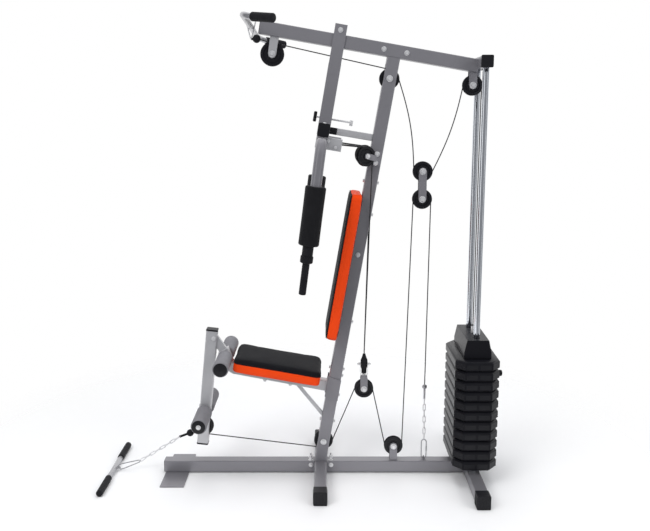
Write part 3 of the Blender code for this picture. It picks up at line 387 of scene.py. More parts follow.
def add_lathe(bm, profile, origin, axis, seg=48, material=0):
    """Turns (radius, along) pairs about an axis. A profile that never meets the axis closes on itself."""
    origin, axis = Vector(origin), Vector(axis).normalized()
    side = axis.orthogonal().normalized()
    other = axis.cross(side)
    bored = min(r for r, _ in profile) > 0
    loops = []
    for k in range(seg):
        a = 2 * math.pi * k / seg
        out = side * math.cos(a) + other * math.sin(a)
        loops.append([bm.verts.new(origin + axis * t + out * r) for r, t in profile])
    for i in range(seg):
        a, b = loops[i], loops[(i + 1) % seg]
        for j in range(len(profile) if bored else len(profile) - 1):
            m = (j + 1) % len(profile)
            if (a[j].co - b[j].co).length < 1e-7 and (a[m].co - b[m].co).length < 1e-7:
                continue
            face = bm.faces.new((a[j], a[m], b[m], b[j]))
            face.material_index = material


def circle(middle, u, v, r, seg):
    """Points round a circle in the plane of u and v."""
    return [middle + (u * math.cos(2 * math.pi * k / seg) + v * math.sin(2 * math.pi * k / seg)) * r
            for k in range(seg)]


def add_tube(bm, points, r, seg=12):
    """A round bar, wire or cable through points."""
    pts = [Vector(p) for p in points]
    rings, side = [], None
    for i, p in enumerate(pts):
        back = (p - pts[i - 1]).normalized() if i else None
        ahead = (pts[i + 1] - p).normalized() if i + 1 < len(pts) else None
        way = ((back or ahead) + (ahead or back)).normalized()
        side = way.orthogonal().normalized() if side is None else (side - way * side.dot(way)).normalized()
        rings.append(circle(p, side, way.cross(side), r, seg))
    add_loft(bm, rings)


def add_bar(bm, a, b, r, seg=32, ease=0.0006, material=0):
    """A straight round bar with eased ends."""
    a, b = Vector(a), Vector(b)
    n = (b - a).length
    add_lathe(bm, [(0, 0), (r - ease, 0), (r, ease), (r, n - ease), (r - ease, n), (0, n)], a, b - a, seg, material)


def rounded(w, h, r, seg=5):
    """A corner-rounded rectangle as (u, v) pairs."""
    return [(cu * (w / 2 - r) + r * math.cos(math.pi / 2 * (k + i / seg)),
             cv * (h / 2 - r) + r * math.sin(math.pi / 2 * (k + i / seg)))
            for k, (cu, cv) in enumerate(((1, 1), (-1, 1), (-1, -1), (1, -1))) for i in range(seg + 1)]


def add_plate(bm, outline, frame_of, thick, ease=0.0006, material=0):
    """A plate: an outline of (u, v) pairs placed by frame_of(u, v, w), with eased edges, w from 0 to thick."""
    middle = Vector((sum(u for u, _ in outline) / len(outline), sum(v for _, v in outline) / len(outline)))

    def shrunk(by):
        out = []
        for u, v in outline:
            away = Vector((u, v)) - middle
            out.append(middle + away * max(1 - by / max(away.length, 1e-6), 0))
        return out
    rings = [[frame_of(p[0], p[1], w) for p in ring] for w, ring in
             ((0, shrunk(ease)), (ease, outline), (thick - ease, outline), (thick, shrunk(ease)))]
    add_loft(bm, rings, material=material)


def refined(node, kinds, body, ease=0.0007, paint_by=None, fit=None, without=None):
    """A clean copy of a CAD node: merged, flat faces joined, hard edges eased, and large faces shaded flat.

    fit(point) says how far a point moves to meet the real outline, without(centre) which faces are left off.
    """
    bm = bmesh.new()
    bm.from_mesh(frame["nodes"][node].data)
    bmesh.ops.remove_doubles(bm, verts=bm.verts, dist=2e-5)
    if without:
        bmesh.ops.delete(bm, geom=[f for f in bm.faces if without(f.calc_center_median())], context="FACES")
        bmesh.ops.holes_fill(bm, edges=[e for e in bm.edges if e.is_boundary], sides=0)
    if fit:
        for vert in bm.verts:
            vert.co += fit(vert.co)
    bmesh.ops.dissolve_degenerate(bm, dist=2e-5, edges=bm.edges)
    bmesh.ops.dissolve_limit(bm, angle_limit=math.radians(0.6), verts=bm.verts, edges=bm.edges)
    bmesh.ops.recalc_face_normals(bm, faces=bm.faces)
    if ease:
        hard = [e for e in bm.edges if len(e.link_faces) == 2 and math.radians(60) < e.calc_face_angle(0)
                < math.radians(120) and e.calc_length() > 4 * ease]
        bmesh.ops.bevel(bm, geom=hard, offset=ease, segments=1, profile=0.5, affect="EDGES",
                        clamp_overlap=True)
    if paint_by:
        for face in bm.faces:
            face.material_index = paint_by(face.calc_center_median())
    obj = piece(node + "_dressed", bm, kinds, crease=40.0)
    even = obj.modifiers.new("even", "WEIGHTED_NORMAL")
    even.keep_sharp = True
    even.weight = 80
    flatten(obj)
    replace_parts(obj, node)
    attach(obj, body)
    return obj


def flatten(obj):
    """Puts the result of an object's modifiers into its mesh."""
    graph = bpy.context.evaluated_depsgraph_get()
    old = obj.data
    obj.data = bpy.data.meshes.new_from_object(obj.evaluated_get(graph))
    obj.modifiers.clear()
    bpy.data.meshes.remove(old)
    return obj


def scatter(name, spots, shape, body, kind, crease=35.0, **inputs):
    """One mesh of the same shape at every spot, set there by Geometry Nodes. A spot is a 4x4 matrix."""
    host = bpy.data.meshes.new(name)
    host.from_pydata([m.to_translation() for m in spots], [], [])
    turn = host.attributes.new("turn", "FLOAT_VECTOR", "POINT")
    size = host.attributes.new("size", "FLOAT_VECTOR", "POINT")
    for k, m in enumerate(spots):
        turn.data[k].vector = m.to_euler()
        size.data[k].vector = m.to_scale()
    obj = bpy.data.objects.new(name, host)
    bpy.context.scene.collection.objects.link(obj)
    tree = bpy.data.node_groups.new(name, "GeometryNodeTree")
    tree.interface.new_socket("Points", in_out="INPUT", socket_type="NodeSocketGeometry")
    tree.interface.new_socket("Shape", in_out="INPUT", socket_type="NodeSocketObject")
    finish_in = tree.interface.new_socket("Finish", in_out="INPUT", socket_type="NodeSocketMaterial")
    shape_in = tree.interface.items_tree["Shape"]
    tree.interface.new_socket("Mesh", in_out="OUTPUT", socket_type="NodeSocketGeometry")
    node = {kind_: tree.nodes.new(kind_) for kind_ in (
        "NodeGroupInput", "GeometryNodeObjectInfo", "GeometryNodeInstanceOnPoints", "GeometryNodeRealizeInstances",
        "GeometryNodeSetMaterial", "NodeGroupOutput")}
    put = node["GeometryNodeInstanceOnPoints"]
    link = tree.links.new
    for attribute, socket in (("turn", "Rotation"), ("size", "Scale")):
        named = tree.nodes.new("GeometryNodeInputNamedAttribute")
        named.data_type = "FLOAT_VECTOR"
        named.inputs["Name"].default_value = attribute
        link(named.outputs["Attribute"], put.inputs[socket])
    link(node["NodeGroupInput"].outputs["Points"], put.inputs["Points"])
    link(node["NodeGroupInput"].outputs["Shape"], node["GeometryNodeObjectInfo"].inputs["Object"])
    link(node["GeometryNodeObjectInfo"].outputs["Geometry"], put.inputs["Instance"])
    link(put.outputs["Instances"], node["GeometryNodeRealizeInstances"].inputs["Geometry"])
    paint = node["GeometryNodeSetMaterial"]
    link(node["GeometryNodeRealizeInstances"].outputs["Geometry"], paint.inputs["Geometry"])
    link(node["NodeGroupInput"].outputs["Finish"], paint.inputs["Material"])
    link(paint.outputs["Geometry"], node["NodeGroupOutput"].inputs["Mesh"])
    made = obj.modifiers.new("scatter", "NODES")
    made.node_group = tree
    made[shape_in.identifier] = shape
    made[finish_in.identifier] = finish(kind)
    flatten(obj)
    bm = bmesh.new()
    bm.from_mesh(obj.data)
    bpy.data.objects.remove(obj)
    return piece(name, bm, kind, body, crease)


def pattern(name, build):
    """A hidden shape for scatter(), built by a function that fills a bmesh."""
    bm = bmesh.new()
    build(bm)
    mesh = bpy.data.meshes.new(name)
    bm.to_mesh(mesh)
    bm.free()
    return bpy.data.objects.new(name, mesh)


def facing(at, axis, size=1.0):
    """A matrix at a point whose local Z looks along an axis."""
    turn = Vector(axis).normalized().to_track_quat("Z", "Y").to_matrix().to_4x4()
    return Matrix.Translation(at) @ turn @ Matrix.Scale(size, 4)


# The add-on's settings

class GymLook(bpy.types.PropertyGroup):
    """Colours and surface of the gym."""
    paint: FloatVectorProperty(name="Paint", description="Satin paint of the main tubes", subtype="COLOR", size=3,
                               min=0, max=1, default=(0.255, 0.250, 0.270))
    light_paint: FloatVectorProperty(name="Light paint", description="Paint of the base front, lever and stop arm",
                                     subtype="COLOR", size=3, min=0, max=1, default=(0.53, 0.53, 0.545))
    paint_roughness: FloatProperty(name="Paint roughness", description="Mean roughness of the paint",
                                   subtype="FACTOR", min=0, max=1, default=0.36)
    cover: FloatVectorProperty(name="Cover", description="Artificial leather of the pads", subtype="COLOR", size=3,
                               min=0, max=1, default=(0.009, 0.009, 0.011))
    band: FloatVectorProperty(name="Band", description="Coloured border of the pads", subtype="COLOR", size=3,
                              min=0, max=1, default=(0.86, 0.060, 0.003))
    foam: FloatVectorProperty(name="Foam", description="Foam of the leg rollers", subtype="COLOR", size=3,
                              min=0, max=1, default=(0.215, 0.212, 0.228))


class GymDetail(bpy.types.PropertyGroup):
    """Sizes and counts of the small pieces."""
    cap_ribs: IntProperty(name="Cap ribs", description="Ribs round each foot cap's end", min=0, default=9)
    bolt_size: FloatProperty(name="Bolt size", description="Width of a bolt head across its dome",
                             subtype="DISTANCE", unit="LENGTH", min=0.004, default=0.019)
    stitch_pitch: FloatProperty(name="Stitch pitch", description="Length of one stitch and its gap",
                                subtype="DISTANCE", unit="LENGTH", min=0.002, default=0.0055)
    puff: FloatProperty(name="Puff", description="Farthest the filling may push a pad's cover out",
                        subtype="DISTANCE", unit="LENGTH", min=0, default=0.0025)


class GymStage(bpy.types.PropertyGroup):
    """Camera and light."""
    lens: FloatProperty(name="Lens", description="Focal length on a 36 mm sensor, in millimetres",
                        min=10, default=44.3)
    pitch: FloatProperty(name="Pitch", description="How far the camera looks down", subtype="ANGLE",
                         unit="ROTATION", default=math.radians(10.6))
    place: FloatVectorProperty(name="Place", description="Where the camera stands", subtype="TRANSLATION",
                               unit="LENGTH", size=3, default=(0.1026, -3.8, 1.77))
    strength: FloatProperty(name="Light", description="Strength of the lamps", min=0, default=1.0)


class GymOperator:
    """What the gym's operators have in common."""
    bl_options = {"REGISTER", "UNDO"}

    def execute(self, context):
        self.build(context.scene.gym_detail)
        return {"FINISHED"}


class GYM_OT_tubes(GymOperator, bpy.types.Operator):
    """Paint the tubes of the frame, the seat, the press arm and the lever"""
    bl_idname = "gym.tubes"
    bl_label = "Tubes"

    def build(self, detail):
        def step_back(z):
            """How far the upright at height z stands behind its solid."""
            return Vector(((min(max(z, FOOT.z), SOLID_BEND) - FOOT.z) * math.tan(LEAN), 0, 0))

        def fit_upright(p):
            """The foot of the upright leans back from lower down than its solid, apart from its axle holes."""
            held = any((p - centre(w)).xz.length < 0.008 for w in ("foot_wheel", "second_wheel"))
            return Vector() if held else step_back(p.z)

        def fit_end(node, reach=0.5):
            """The rear end of a tube goes back with the upright that it meets."""
            low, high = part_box(node)
            start = low.x + (high.x - low.x) * reach
            return lambda p: step_back(1) if p.x > start and abs(p.y) < 0.03 else Vector()

        def fit_seat(p):
            """The seat's tube is thinner than its solid, and bends further forward."""
            rear = fit_end("seat_frame", 0.9)(p)
            if rear.length or abs(p.y) > 0.0255:
                return rear
            bends = ((0.10, 0.45, 0, 0), (SEAT_BEND.x, SEAT_BEND.z, SEAT_MOVE.x, SEAT_MOVE.z),
                     (-0.3544, 0.5610, -0.019, 0.0070), (-0.3984, 0.6386, 0, 0),
                     (LEVER_PIVOT.x, LEVER_PIVOT.z, 0, 0))      # x and z in the solid, and how far they move
            near = min(bends, key=lambda b: (p.x - b[0]) ** 2 + (p.z - b[1]) ** 2)
            axis_z = SEAT_BEND.z - (p.x - SEAT_BEND.x) * math.tan(SEAT_PITCH)
            under = p.z < axis_z - 0.010 and p.x > -0.36
            return Vector((near[2], 0, near[3] + (0.008 if under else 0.0)))
        for node in ("base_beam_rear", "centre_stabiliser", "rear_stabiliser", "double_strap", "mid_yoke_near",
                     "mid_yoke_far"):
            body = "double_float" if node == "double_strap" else "frame"
            refined(node, ["tube paint"], body)
        refined("main_upright", ["tube paint"], "frame", fit=fit_upright)
        refined("seat_strut", ["light paint"], "frame", fit=fit_end("seat_strut"))
        refined("stop_arm", ["light paint"], "frame", fit=fit_end("stop_arm"))
        refined("base_beam_front", ["tube paint"], "frame")
        refined("leg_lever", ["light paint"], "lever",
                        fit=lambda p: LEVER_CUT if p.z > LEVER_TOP.z - 0.010 else Vector())

        def on_fork(c):
            """The front wheel's fork, in the light paint."""
            return int(abs(c.x - centre("front_wheel").x) < 0.05 and c.z < on_beam(c.x, -0.040).z)

        def stray_roller(c):
            """The guide roller under the beam, which the photo doesn't show."""
            return abs(c.x + 0.0684) < 0.03 and abs(c.y) < 0.0125 and c.z < on_beam(c.x, -0.0315).z
        refined("top_beam", ["tube paint", "light paint"], "frame", paint_by=on_fork, without=stray_roller)
        refined("seat_frame", ["light paint", "zinc"], "frame", fit=fit_seat,
                        paint_by=lambda c: int(abs(c.y) > 0.030))
        bm = bmesh.new()
        saddle = [(-0.036, 0.400), (0.031, 0.388), (0.031, 0.492), (-0.036, 0.504)]     # off the axis, height
        outline = [(off, (z - FOOT.z) / UP.z) for off, z in saddle]
        for s in (-1, 1):
            add_plate(bm, outline, lambda u, v, w, s=s: on_upright(v, u, s * (0.0302 + w)), 0.0040, 0.0005)
        piece("seat_saddle", bm, "tube paint", "frame")

        def on_press(c):
            """The ends of the press arm's pivot."""
            return int(abs(c.y) > 0.0360 and (c - PIVOT).length < 0.04)
        refined("press_arm", ["tube paint", "zinc"], "press", paint_by=on_press)
        bm = bmesh.new()
        top, foot = PIVOT - UP * 0.2000, CROSS - UP * 0.0230
        n = (top - foot).length
        for s in (-1, 1):
            add_plate(bm, [(-0.0280, 0), (0.0280, 0), (0.0280, n), (-0.0280, n)],
                      lambda u, v, w, s=s: foot + BACK * u + UP * v + SIDE * s * (0.0312 + w), 0.0060, 0.0005)
        piece("press_arm_cheeks", bm, "tube paint", "press")
        refined("stop_bumper", ["rubber"], "frame", ease=0.0015)


class GYM_OT_yoke(GymOperator, bpy.types.Operator):
    """Hang the floating fork of the single wheel from its rubber sleeve"""
    bl_idname = "gym.yoke"
    bl_label = "Single fork"

    def build(self, detail):
        hub = centre("single_wheel")
        top = hub.z + FORK_TOP
        bm = bmesh.new()
        r = 0.018
        outline = [(r * math.cos(a), z + r * math.sin(a)) for z, first in ((hub.z, math.pi), (top - r, 0.0))
                   for a in (first + math.pi * k / 16 for k in range(17))]
        for s in (-1, 1):
            add_plate(bm, outline, lambda u, v, w, s=s: Vector((hub.x + u, s * (0.0128 + w), v)), 0.0040, 0.0006)
        add_bar(bm, (hub.x, -0.0130, top - 0.0075), (hub.x, 0.0130, top - 0.0075), 0.0050, 16)
        piece("single_fork", bm, "tube paint", "single_float", 35, ["single_yoke"])
        bm = bmesh.new()
        add_bar(bm, (hub.x, 0, top - 0.0105), (hub.x, 0, top + 0.0040), 0.0060, 16)
        legs = [(-0.0184, 0.066), (-0.0184, 0.0040), (-0.0150, 0.0005), (0.0150, 0.0005), (0.0184, 0.0040),
                (0.0184, 0.066)]
        half, thick = 0.0120, 0.0010                        # half the strap's width and half its thickness
        rings = []
        for i, (x, z) in enumerate(legs):
            before, after = legs[max(i - 1, 0)], legs[min(i + 1, len(legs) - 1)]
            way = Vector((after[0] - before[0], after[1] - before[1])).normalized()
            off = Vector((-way.y, way.x)) * thick
            rings.append([Vector((hub.x + x + off.x * t, y, top + z + off.y * t)) for y, t in
                          ((-half, -1), (half, -1), (half, 1), (-half, 1))])
        add_loft(bm, rings)
        bolt_z, reach = top + 0.055, 0.033
        add_bar(bm, (hub.x - reach, 0, bolt_z), (hub.x + reach, 0, bolt_z), 0.0036, 16)
        for s in (-1, 1):
            add_bar(bm, (hub.x + s * 0.0196, 0, bolt_z), (hub.x + s * 0.0276, 0, bolt_z), 0.0078, 6, 0.0008)
        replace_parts(piece("single_fork_bolt", bm, "zinc", "single_float", 35), "single_yoke")
        bm = bmesh.new()
        sections = ((0.0080, 0.0125), (0.0300, 0.0130), (0.0420, 0.0166), (0.0760, 0.0170), (0.0880, 0.0120),
                    (0.1000, 0.0080), (0.1080, 0.0066))     # height above the fork's top and radius of the sleeve
        add_loft(bm, [circle(Vector((hub.x, 0, top + z)), Vector((1, 0, 0)), SIDE * 0.72, r, 32)
                      for z, r in sections])
        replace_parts(piece("single_sleeve", bm, "rubber", "single_float", 50), "single_yoke")


class GYM_OT_caps(GymOperator, bpy.types.Operator):
    """Put ribbed black caps on the feet, the crosspiece, the crossbar and the lever"""
    bl_idname = "gym.caps"
    bl_label = "End caps"

    def build(self, detail):
        for node in ("centre_cap_near", "centre_cap_far", "rear_cap_near", "rear_cap_far"):
            refined(node, ["black plastic"], "frame", ease=0.0012)
        rib = pattern("rib", lambda bm: add_bar(bm, (0, 0, -0.5), (0, 0, 0.5), 0.0011, 8, 0.0004))
        for base in ("centre_cap", "rear_cap"):
            spots = []
            for tag, s in (("near", -1), ("far", 1)):
                low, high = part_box(f"{base}_{tag}")
                y = low.y if s < 0 else high.y
                middle = (low.z + high.z) / 2 + 0.002
                places = [(low.x + (high.x - low.x) * (k + 0.8) / (detail.cap_ribs + 0.6), y + s * 0.0002)
                          for k in range(detail.cap_ribs)]
                places += [(side, y - s * (0.008 + 0.0085 * k)) for side in (low.x, high.x) for k in range(5)]
                stretch = Matrix.Diagonal((1, 1, (high.z - low.z) * 0.78, 1))
                spots += [Matrix.Translation((*place, middle)) @ stretch for place in places]
            scatter(base + "_ribs", spots, rib, "frame", "black plastic")
        bm = bmesh.new()
        for s in (-1, 1):
            at = Vector((STACK.x, s * CAP_Y, CROSSPIECE_Z))
            add_plate(bm, rounded(0.0550, 0.0550, 0.006),
                      lambda u, v, w, at=at, s=s: at + Vector((u, s * (w - 0.010), v)), 0.0125, 0.0015)
        piece("crosspiece_caps", bm, "black plastic", "frame")
        bm = bmesh.new()
        for s in (-1, 1):
            at = CROSS + SIDE * s * CROSSBAR_Y
            add_plate(bm, rounded(0.0525, 0.0600, 0.006),
                      lambda u, v, w, at=at, s=s: at + BACK * u + UP * v + SIDE * s * (w - 0.022), 0.0250, 0.0015)
        piece("crossbar_caps", bm, "black plastic", "press")
        top, end = LEVER_TOP + LEVER_CUT, LEVER_FOOT
        axis = (top - end).normalized()
        across = SIDE.cross(axis)
        bm = bmesh.new()
        for at, way in ((top, axis), (end, -axis)):
            add_plate(bm, rounded(0.0520, 0.0570, 0.006),
                      lambda u, v, w, at=at, way=way: at + SIDE * u + across * v + way * (w - 0.006),
                      0.0090, 0.0020)
        piece("lever_caps", bm, "black plastic", "lever")
        front = Vector((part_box("base_beam_front")[0].x, 0, 0.035))
        bm = bmesh.new()
        plug = rounded(0.0590, 0.0590, 0.006)
        add_plate(bm, plug, lambda u, v, w: front + Vector((0.002 - w, u, v)), 0.0045, 0.0015)
        beam_end = on_beam(BEAM_FRONT_X)
        add_plate(bm, plug, lambda u, v, w: beam_end + BACK * (0.002 - w) + SIDE * u + UP * v, 0.0045, 0.0015)
        piece("tube_plugs", bm, "black plastic", "frame")


class GYM_OT_bolts(GymOperator, bpy.types.Operator):
    """Set the bolts, washers and axle heads"""
    bl_idname = "gym.bolts"
    bl_label = "Bolts"

    def build(self, detail):
        def bolt(bm):
            add_lathe(bm, [(0, -0.02), (0.62, -0.02), (0.62, 0.06), (0.56, 0.11), (0.30, 0.13), (0, 0.13)],
                      (0, 0, 0), (0, 0, 1), 24)
            add_loft(bm, [circle(Vector((0, 0, z)), Vector((1, 0, 0)), SIDE, r, 6)
                          for r, z in ((0.44, 0.10), (0.45, 0.36), (0.38, 0.46))])
        shape = pattern("bolt", bolt)
        size = detail.bolt_size

        def both(place, out, way=SIDE):
            """A bolt at each end of what passes through a place."""
            return [(place + way * s * out, way * s) for s in (-1, 1)]

        side = TUBE / 2
        fixed = []
        places = [on_beam(x) for x in BEAM_BOLTS_X] + [Vector((x, 0, BASE_BOLT_Z)) for x in BASE_BOLTS_X]
        for place in places + [at_height(PIN_BOLT_Z)]:
            fixed += both(place, side)
        for z in THROUGH_BOLTS_Z:
            fixed += both(at_height(z), side, BACK)
        fixed += [(at_height(z, side), BACK) for z in REAR_BOLTS_Z]
        down = -Vector((math.sin(SEAT_PITCH), 0, math.cos(SEAT_PITCH)))
        bend = SEAT_BEND + SEAT_MOVE
        fixed += [(Vector((x, 0, bend.z - (x - bend.x) * math.tan(SEAT_PITCH) - 0.0279)), down)
                  for x in SEAT_BOLTS_X]
        axles = []
        for name, out in (("front_wheel", 0.0205), ("rear_wheel", 0.0205), ("floor_wheel", 0.0205),
                          ("foot_wheel", 0.0325), ("second_wheel", 0.0325)):
            axles += both(centre(name), out)
        fixed += axles
        for name, s in (("mid_wheel_near", -1), ("mid_wheel_far", 1)):
            fixed += both(centre(name), 0.0185, mid_axle(s))
            spot = on_upright(UPRIGHT - 0.4929, 0.0021, s * (side + 0.0336))
            fixed += [(spot + UP * v, SIDE * s) for v in (-0.021, 0.021)]
        groups = {
            "frame": fixed,
            "press": both(PIVOT, 0.0374) + [(CROSS + UP * 0.0252 + SIDE * s * 0.145, UP) for s in (-1, 1)],
            "lever": both(LEVER_PIVOT, 0.0262) + both(centre("lever_wheel"), 0.0262)
            + both(Vector((ANKLE.x, 0, ANKLE.z)), 0.2376),
            "single_float": both(centre("single_wheel"), 0.0172),
            "double_float": both(centre("double_wheel_upper"), 0.0172) + both(centre("double_wheel_lower"), 0.0172),
        }
        for body, spots in groups.items():
            wide = {p[:] for p, _ in axles} if body == "frame" else set()
            sizes = [size * (1.30 if body.endswith("float") or p[:] in wide else 1.0) for p, _ in spots]
            placed = [facing(p, axis, k) for (p, axis), k in zip(spots, sizes)]
            scatter(f"{body}_bolts", placed, shape, body, "zinc")
        bm = bmesh.new()
        for x in (0.030, 0.132):
            for y in (-0.017, 0.017):
                foot = Vector((x, y, BEAM_TOP))
                add_bar(bm, foot, foot + Vector((0, 0, 0.024)), 0.0042, 16)
                add_bar(bm, foot, foot + Vector((0, 0, 0.0018)), 0.0115, 24, 0.0004)
                add_bar(bm, foot + Vector((0, 0, 0.0018)), foot + Vector((0, 0, 0.0100)), 0.0085, 6, 0.0008)
        piece("foot_bolts", bm, "zinc", "frame")


class GYM_OT_wheels(GymOperator, bpy.types.Operator):
    """Turn the cable wheels with their spokes and bearings"""
    bl_idname = "gym.wheels"
    bl_label = "Wheels"

    def build(self, detail):
        h = WHEEL_T / 2
        for name in WHEELS:
            at = centre(name)
            axis = SIDE
            if name.startswith("mid"):
                at = joint_at(name + "_spin")
                axis = mid_axle(-1 if name.endswith("near") else 1)
            r = FRONT_WHEEL_R if name == "front_wheel" else WHEEL_R
            bm = bmesh.new()
            edge = [(0.0110, h + 0.0006), (0.0150, h + 0.0006), (0.0158, h), (0.0185, h - 0.0045),
                    (r - 0.0170, h - 0.0050), (r - 0.0140, h - 0.0012), (r - 0.0050, h), (r - 0.0012, h - 0.0006),
                    (r, h - 0.0026), (r - 0.0008, h - 0.0042), (r - GROOVE + 0.0014, 0.0042),
                    (r - GROOVE + 0.0002, 0.0022), (r - GROOVE, 0.0)]
            profile = edge + [(a, -t) for a, t in edge[::-1][1:]]
            add_lathe(bm, profile, at, axis, 64)
            ring = [(0.0062, -h - 0.0002), (0.0108, -h - 0.0002), (0.0108, h + 0.0002), (0.0062, h + 0.0002)]
            add_lathe(bm, ring, at, axis, 32, 1)
            side = axis.orthogonal().normalized()
            for out in circle(Vector(), side, axis.cross(side), 1, 6):
                for t in (-1, 1):
                    base = at + axis * t * (h - 0.0056)
                    add_bar(bm, base + out * 0.0170, base + out * (r - 0.0150), 0.0018, 8)
            piece(name + "_turned", bm, ["wheel plastic", "zinc"], name, 30, [name])


def belt_spans(stops):
    """Straight runs and wraps of a cable. A stop is (centre, radius, turn); turn 1 leaves the wheel on its left."""
    signed = [(Vector((c[0], c[2])), r * turn) for c, r, turn in stops]
    runs = []
    for (a, ra), (b, rb) in zip(signed, signed[1:]):
        d = b - a
        way = math.atan2(d.y, d.x) + math.asin((ra - rb) / d.length)
        n = Vector((-math.sin(way), math.cos(way)))
        runs.append((a - n * ra, b - n * rb, n))
    wraps = []
    for i, (before, after) in enumerate(zip(runs, runs[1:])):
        hub, r = signed[i + 1]
        first, last = before[1] - hub, after[0] - hub
        turn = math.copysign(1, r)
        start = math.atan2(first.y, first.x)
        by = (math.atan2(last.y, last.x) - start) * turn % (2 * math.pi)
        count = max(2, math.ceil(math.degrees(by) / 5))
        wraps.append([hub + abs(r) * Vector((math.cos(start + turn * by * k / count),
                                             math.sin(start + turn * by * k / count))) for k in range(count + 1)])
    return runs, wraps


def space(points):
    """Flat points put into the cables' plane."""
    return [Vector((p.x, 0, p.y)) for p in points]


def straight(run, bow, steps=24):
    """Points of a straight run, bowed sideways by up to bow."""
    a, b, n = run
    return space([a.lerp(b, k / steps) - n * bow * math.sin(math.pi * k / steps) for k in range(steps + 1)])


def cable_piece(name, points, bodies, node, r=CABLE_R):
    """One section of a cable: it rides on one body, or stays fixed, with no parent, between two."""
    bm = bmesh.new()
    add_tube(bm, points, r, 16)
    obj = piece(name, bm, "cable coat", bodies[0] if len(bodies) == 1 else None, 80, [node])
    if len(bodies) == 2:
        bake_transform(obj)


def lay_cable(node, stops, sections, tail=()):
    """A cable over its wheels, as runs and wraps by turns. A section is (name, the body it rides on or the two it
    lies between, bow of a run).
    """
    runs, wraps = belt_spans(stops)
    for k, (name, bodies, bow) in enumerate(sections):
        points = space(wraps[k // 2]) if k % 2 else straight(runs[k // 2], bow)
        if k == len(sections) - 1:
            points += tail
        cable_piece(f"{node}_{name}", points, bodies, node)


class GYM_OT_cables(GymOperator, bpy.types.Operator):
    """Run the cables over their wheels, in sections that follow the moving wheels"""
    bl_idname = "gym.cables"
    bl_label = "Cables"

    def build(self, detail):
        inner = WHEEL_R - CABLE_IN
        wide = FRONT_WHEEL_R - CABLE_IN
        at = {name: centre(name) for name in WHEELS}
        end = at["rear_wheel"] + Vector((inner, 0, -0.012))
        lay_cable("lat_cable",
                  [(LAT_BALL, 0, 1), (at["front_wheel"], wide, -1), (at["second_wheel"], inner, -1),
                   (at["double_wheel_upper"], inner, 1), (at["rear_wheel"], inner, -1), (end, 0, 1)],
                  (("grip", ("lat_grip", "frame"), 0), ("front", ("frame",), 0), ("beam", ("frame",), 0),
                   ("second", ("frame",), 0), ("down", ("frame", "double_float"), -0.020),
                   ("double", ("double_float",), 0), ("up", ("double_float", "frame"), 0.018),
                   ("rear", ("frame",), 0)), [end])
        low_end = Vector((STACK.x, 0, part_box("top_block")[1].z))
        cable_piece("stack_cable_drop", [end.lerp(low_end, k / 12) for k in range(13)], ("frame", "carriage"),
                    "stack_cable")
        lay_cable("low_cable",
                  [(LOW_BALL, 0, 1), (at["lever_wheel"], inner, 1), (at["foot_wheel"], inner, 1),
                   (at["single_wheel"], inner, -1), (at["floor_wheel"], inner, 1),
                   (at["double_wheel_lower"], inner, -1), (ANCHOR, 0, 1)],
                  (("grip", ("low_grip", "lever"), 0), ("lever", ("lever",), 0), ("base", ("lever", "frame"), 0),
                   ("foot", ("frame",), 0), ("to_single", ("frame", "single_float"), 0),
                   ("single", ("single_float",), 0), ("to_floor", ("single_float", "frame"), 0),
                   ("floor", ("frame",), 0), ("to_double", ("frame", "double_float"), 0),
                   ("double", ("double_float",), 0), ("anchor", ("double_float", "frame"), 0)))

        for tag, s in (("near", -1), ("far", 1)):
            hub = joint_at(f"mid_wheel_{tag}_spin")
            axle = mid_axle(s)
            plane = Vector((-axle.y, axle.x, 0))
            swing = joint_at(f"butterfly_{tag}_swing")
            lever_end = swing - UP * ARM_DROP + BACK * ARM_LEVER
            begin = lever_end + BACK * (CABLE_R * 0.62 - 0.002) + UP * 0.004
            over = [hub - plane * math.cos(a) * inner + Vector((0, 0, math.sin(a) * inner))
                    for a in (math.radians(k) for k in range(100, -34, -5))]
            sleeve = Vector((at["single_wheel"].x, s * 0.0040, PRESS_END_Z))
            middle = begin.lerp(over[0], 0.5)
            node = "press_cable_" + tag
            arm = "butterfly_" + tag
            cable_piece(node + "_lever", [begin.lerp(middle, k / 8) for k in range(9)], (arm, "press"), node,
                        SLEEVE_R)
            cable_piece(node + "_middle", [middle.lerp(over[0], k / 8) for k in range(9)], ("press", "frame"), node,
                        SLEEVE_R)
            cable_piece(node + "_wheel", over, ("frame",), node)
            cable_piece(node + "_drop", [over[-1].lerp(sleeve, k / 24) for k in range(25)],
                        ("frame", "single_float"), node)


def add_ball(bm, at, r, half=16):
    """A ball with its poles above and below, and half as many steps between them as round it."""
    profile = [(r * math.sin(math.pi * k / half), -r * math.cos(math.pi * k / half)) for k in range(half + 1)]
    profile[0], profile[-1] = (0.0, -r), (0.0, r)
    add_lathe(bm, profile, at, (0, 0, 1), 2 * half)


def add_ring(bm, points, r, seg):
    """A closed loop of wire."""
    pts = [Vector(p) for p in points]
    middle = sum(pts, Vector()) / len(pts)
    normal = sum(((a - middle).cross(b - middle) for a, b in zip(pts, pts[1:] + pts[:1])), Vector()).normalized()
    rings = []
    for i, p in enumerate(pts):
        way = (pts[(i + 1) % len(pts)] - pts[i - 1]).normalized()
        rings.append(circle(p, way.cross(normal), normal, r, seg))
    add_loft(bm, rings, closed=True)


def oval(length, width, wire, steps=6):
    """The middle line of a chain link along Z, in the XZ plane."""
    r = width / 2 - wire
    half = length / 2 - wire - r
    return [Vector((r * math.cos(a), 0, end * half + r * math.sin(a))) for end, first in ((1, 0), (-1, math.pi))
            for a in (first + math.pi * k / steps for k in range(steps + 1))]


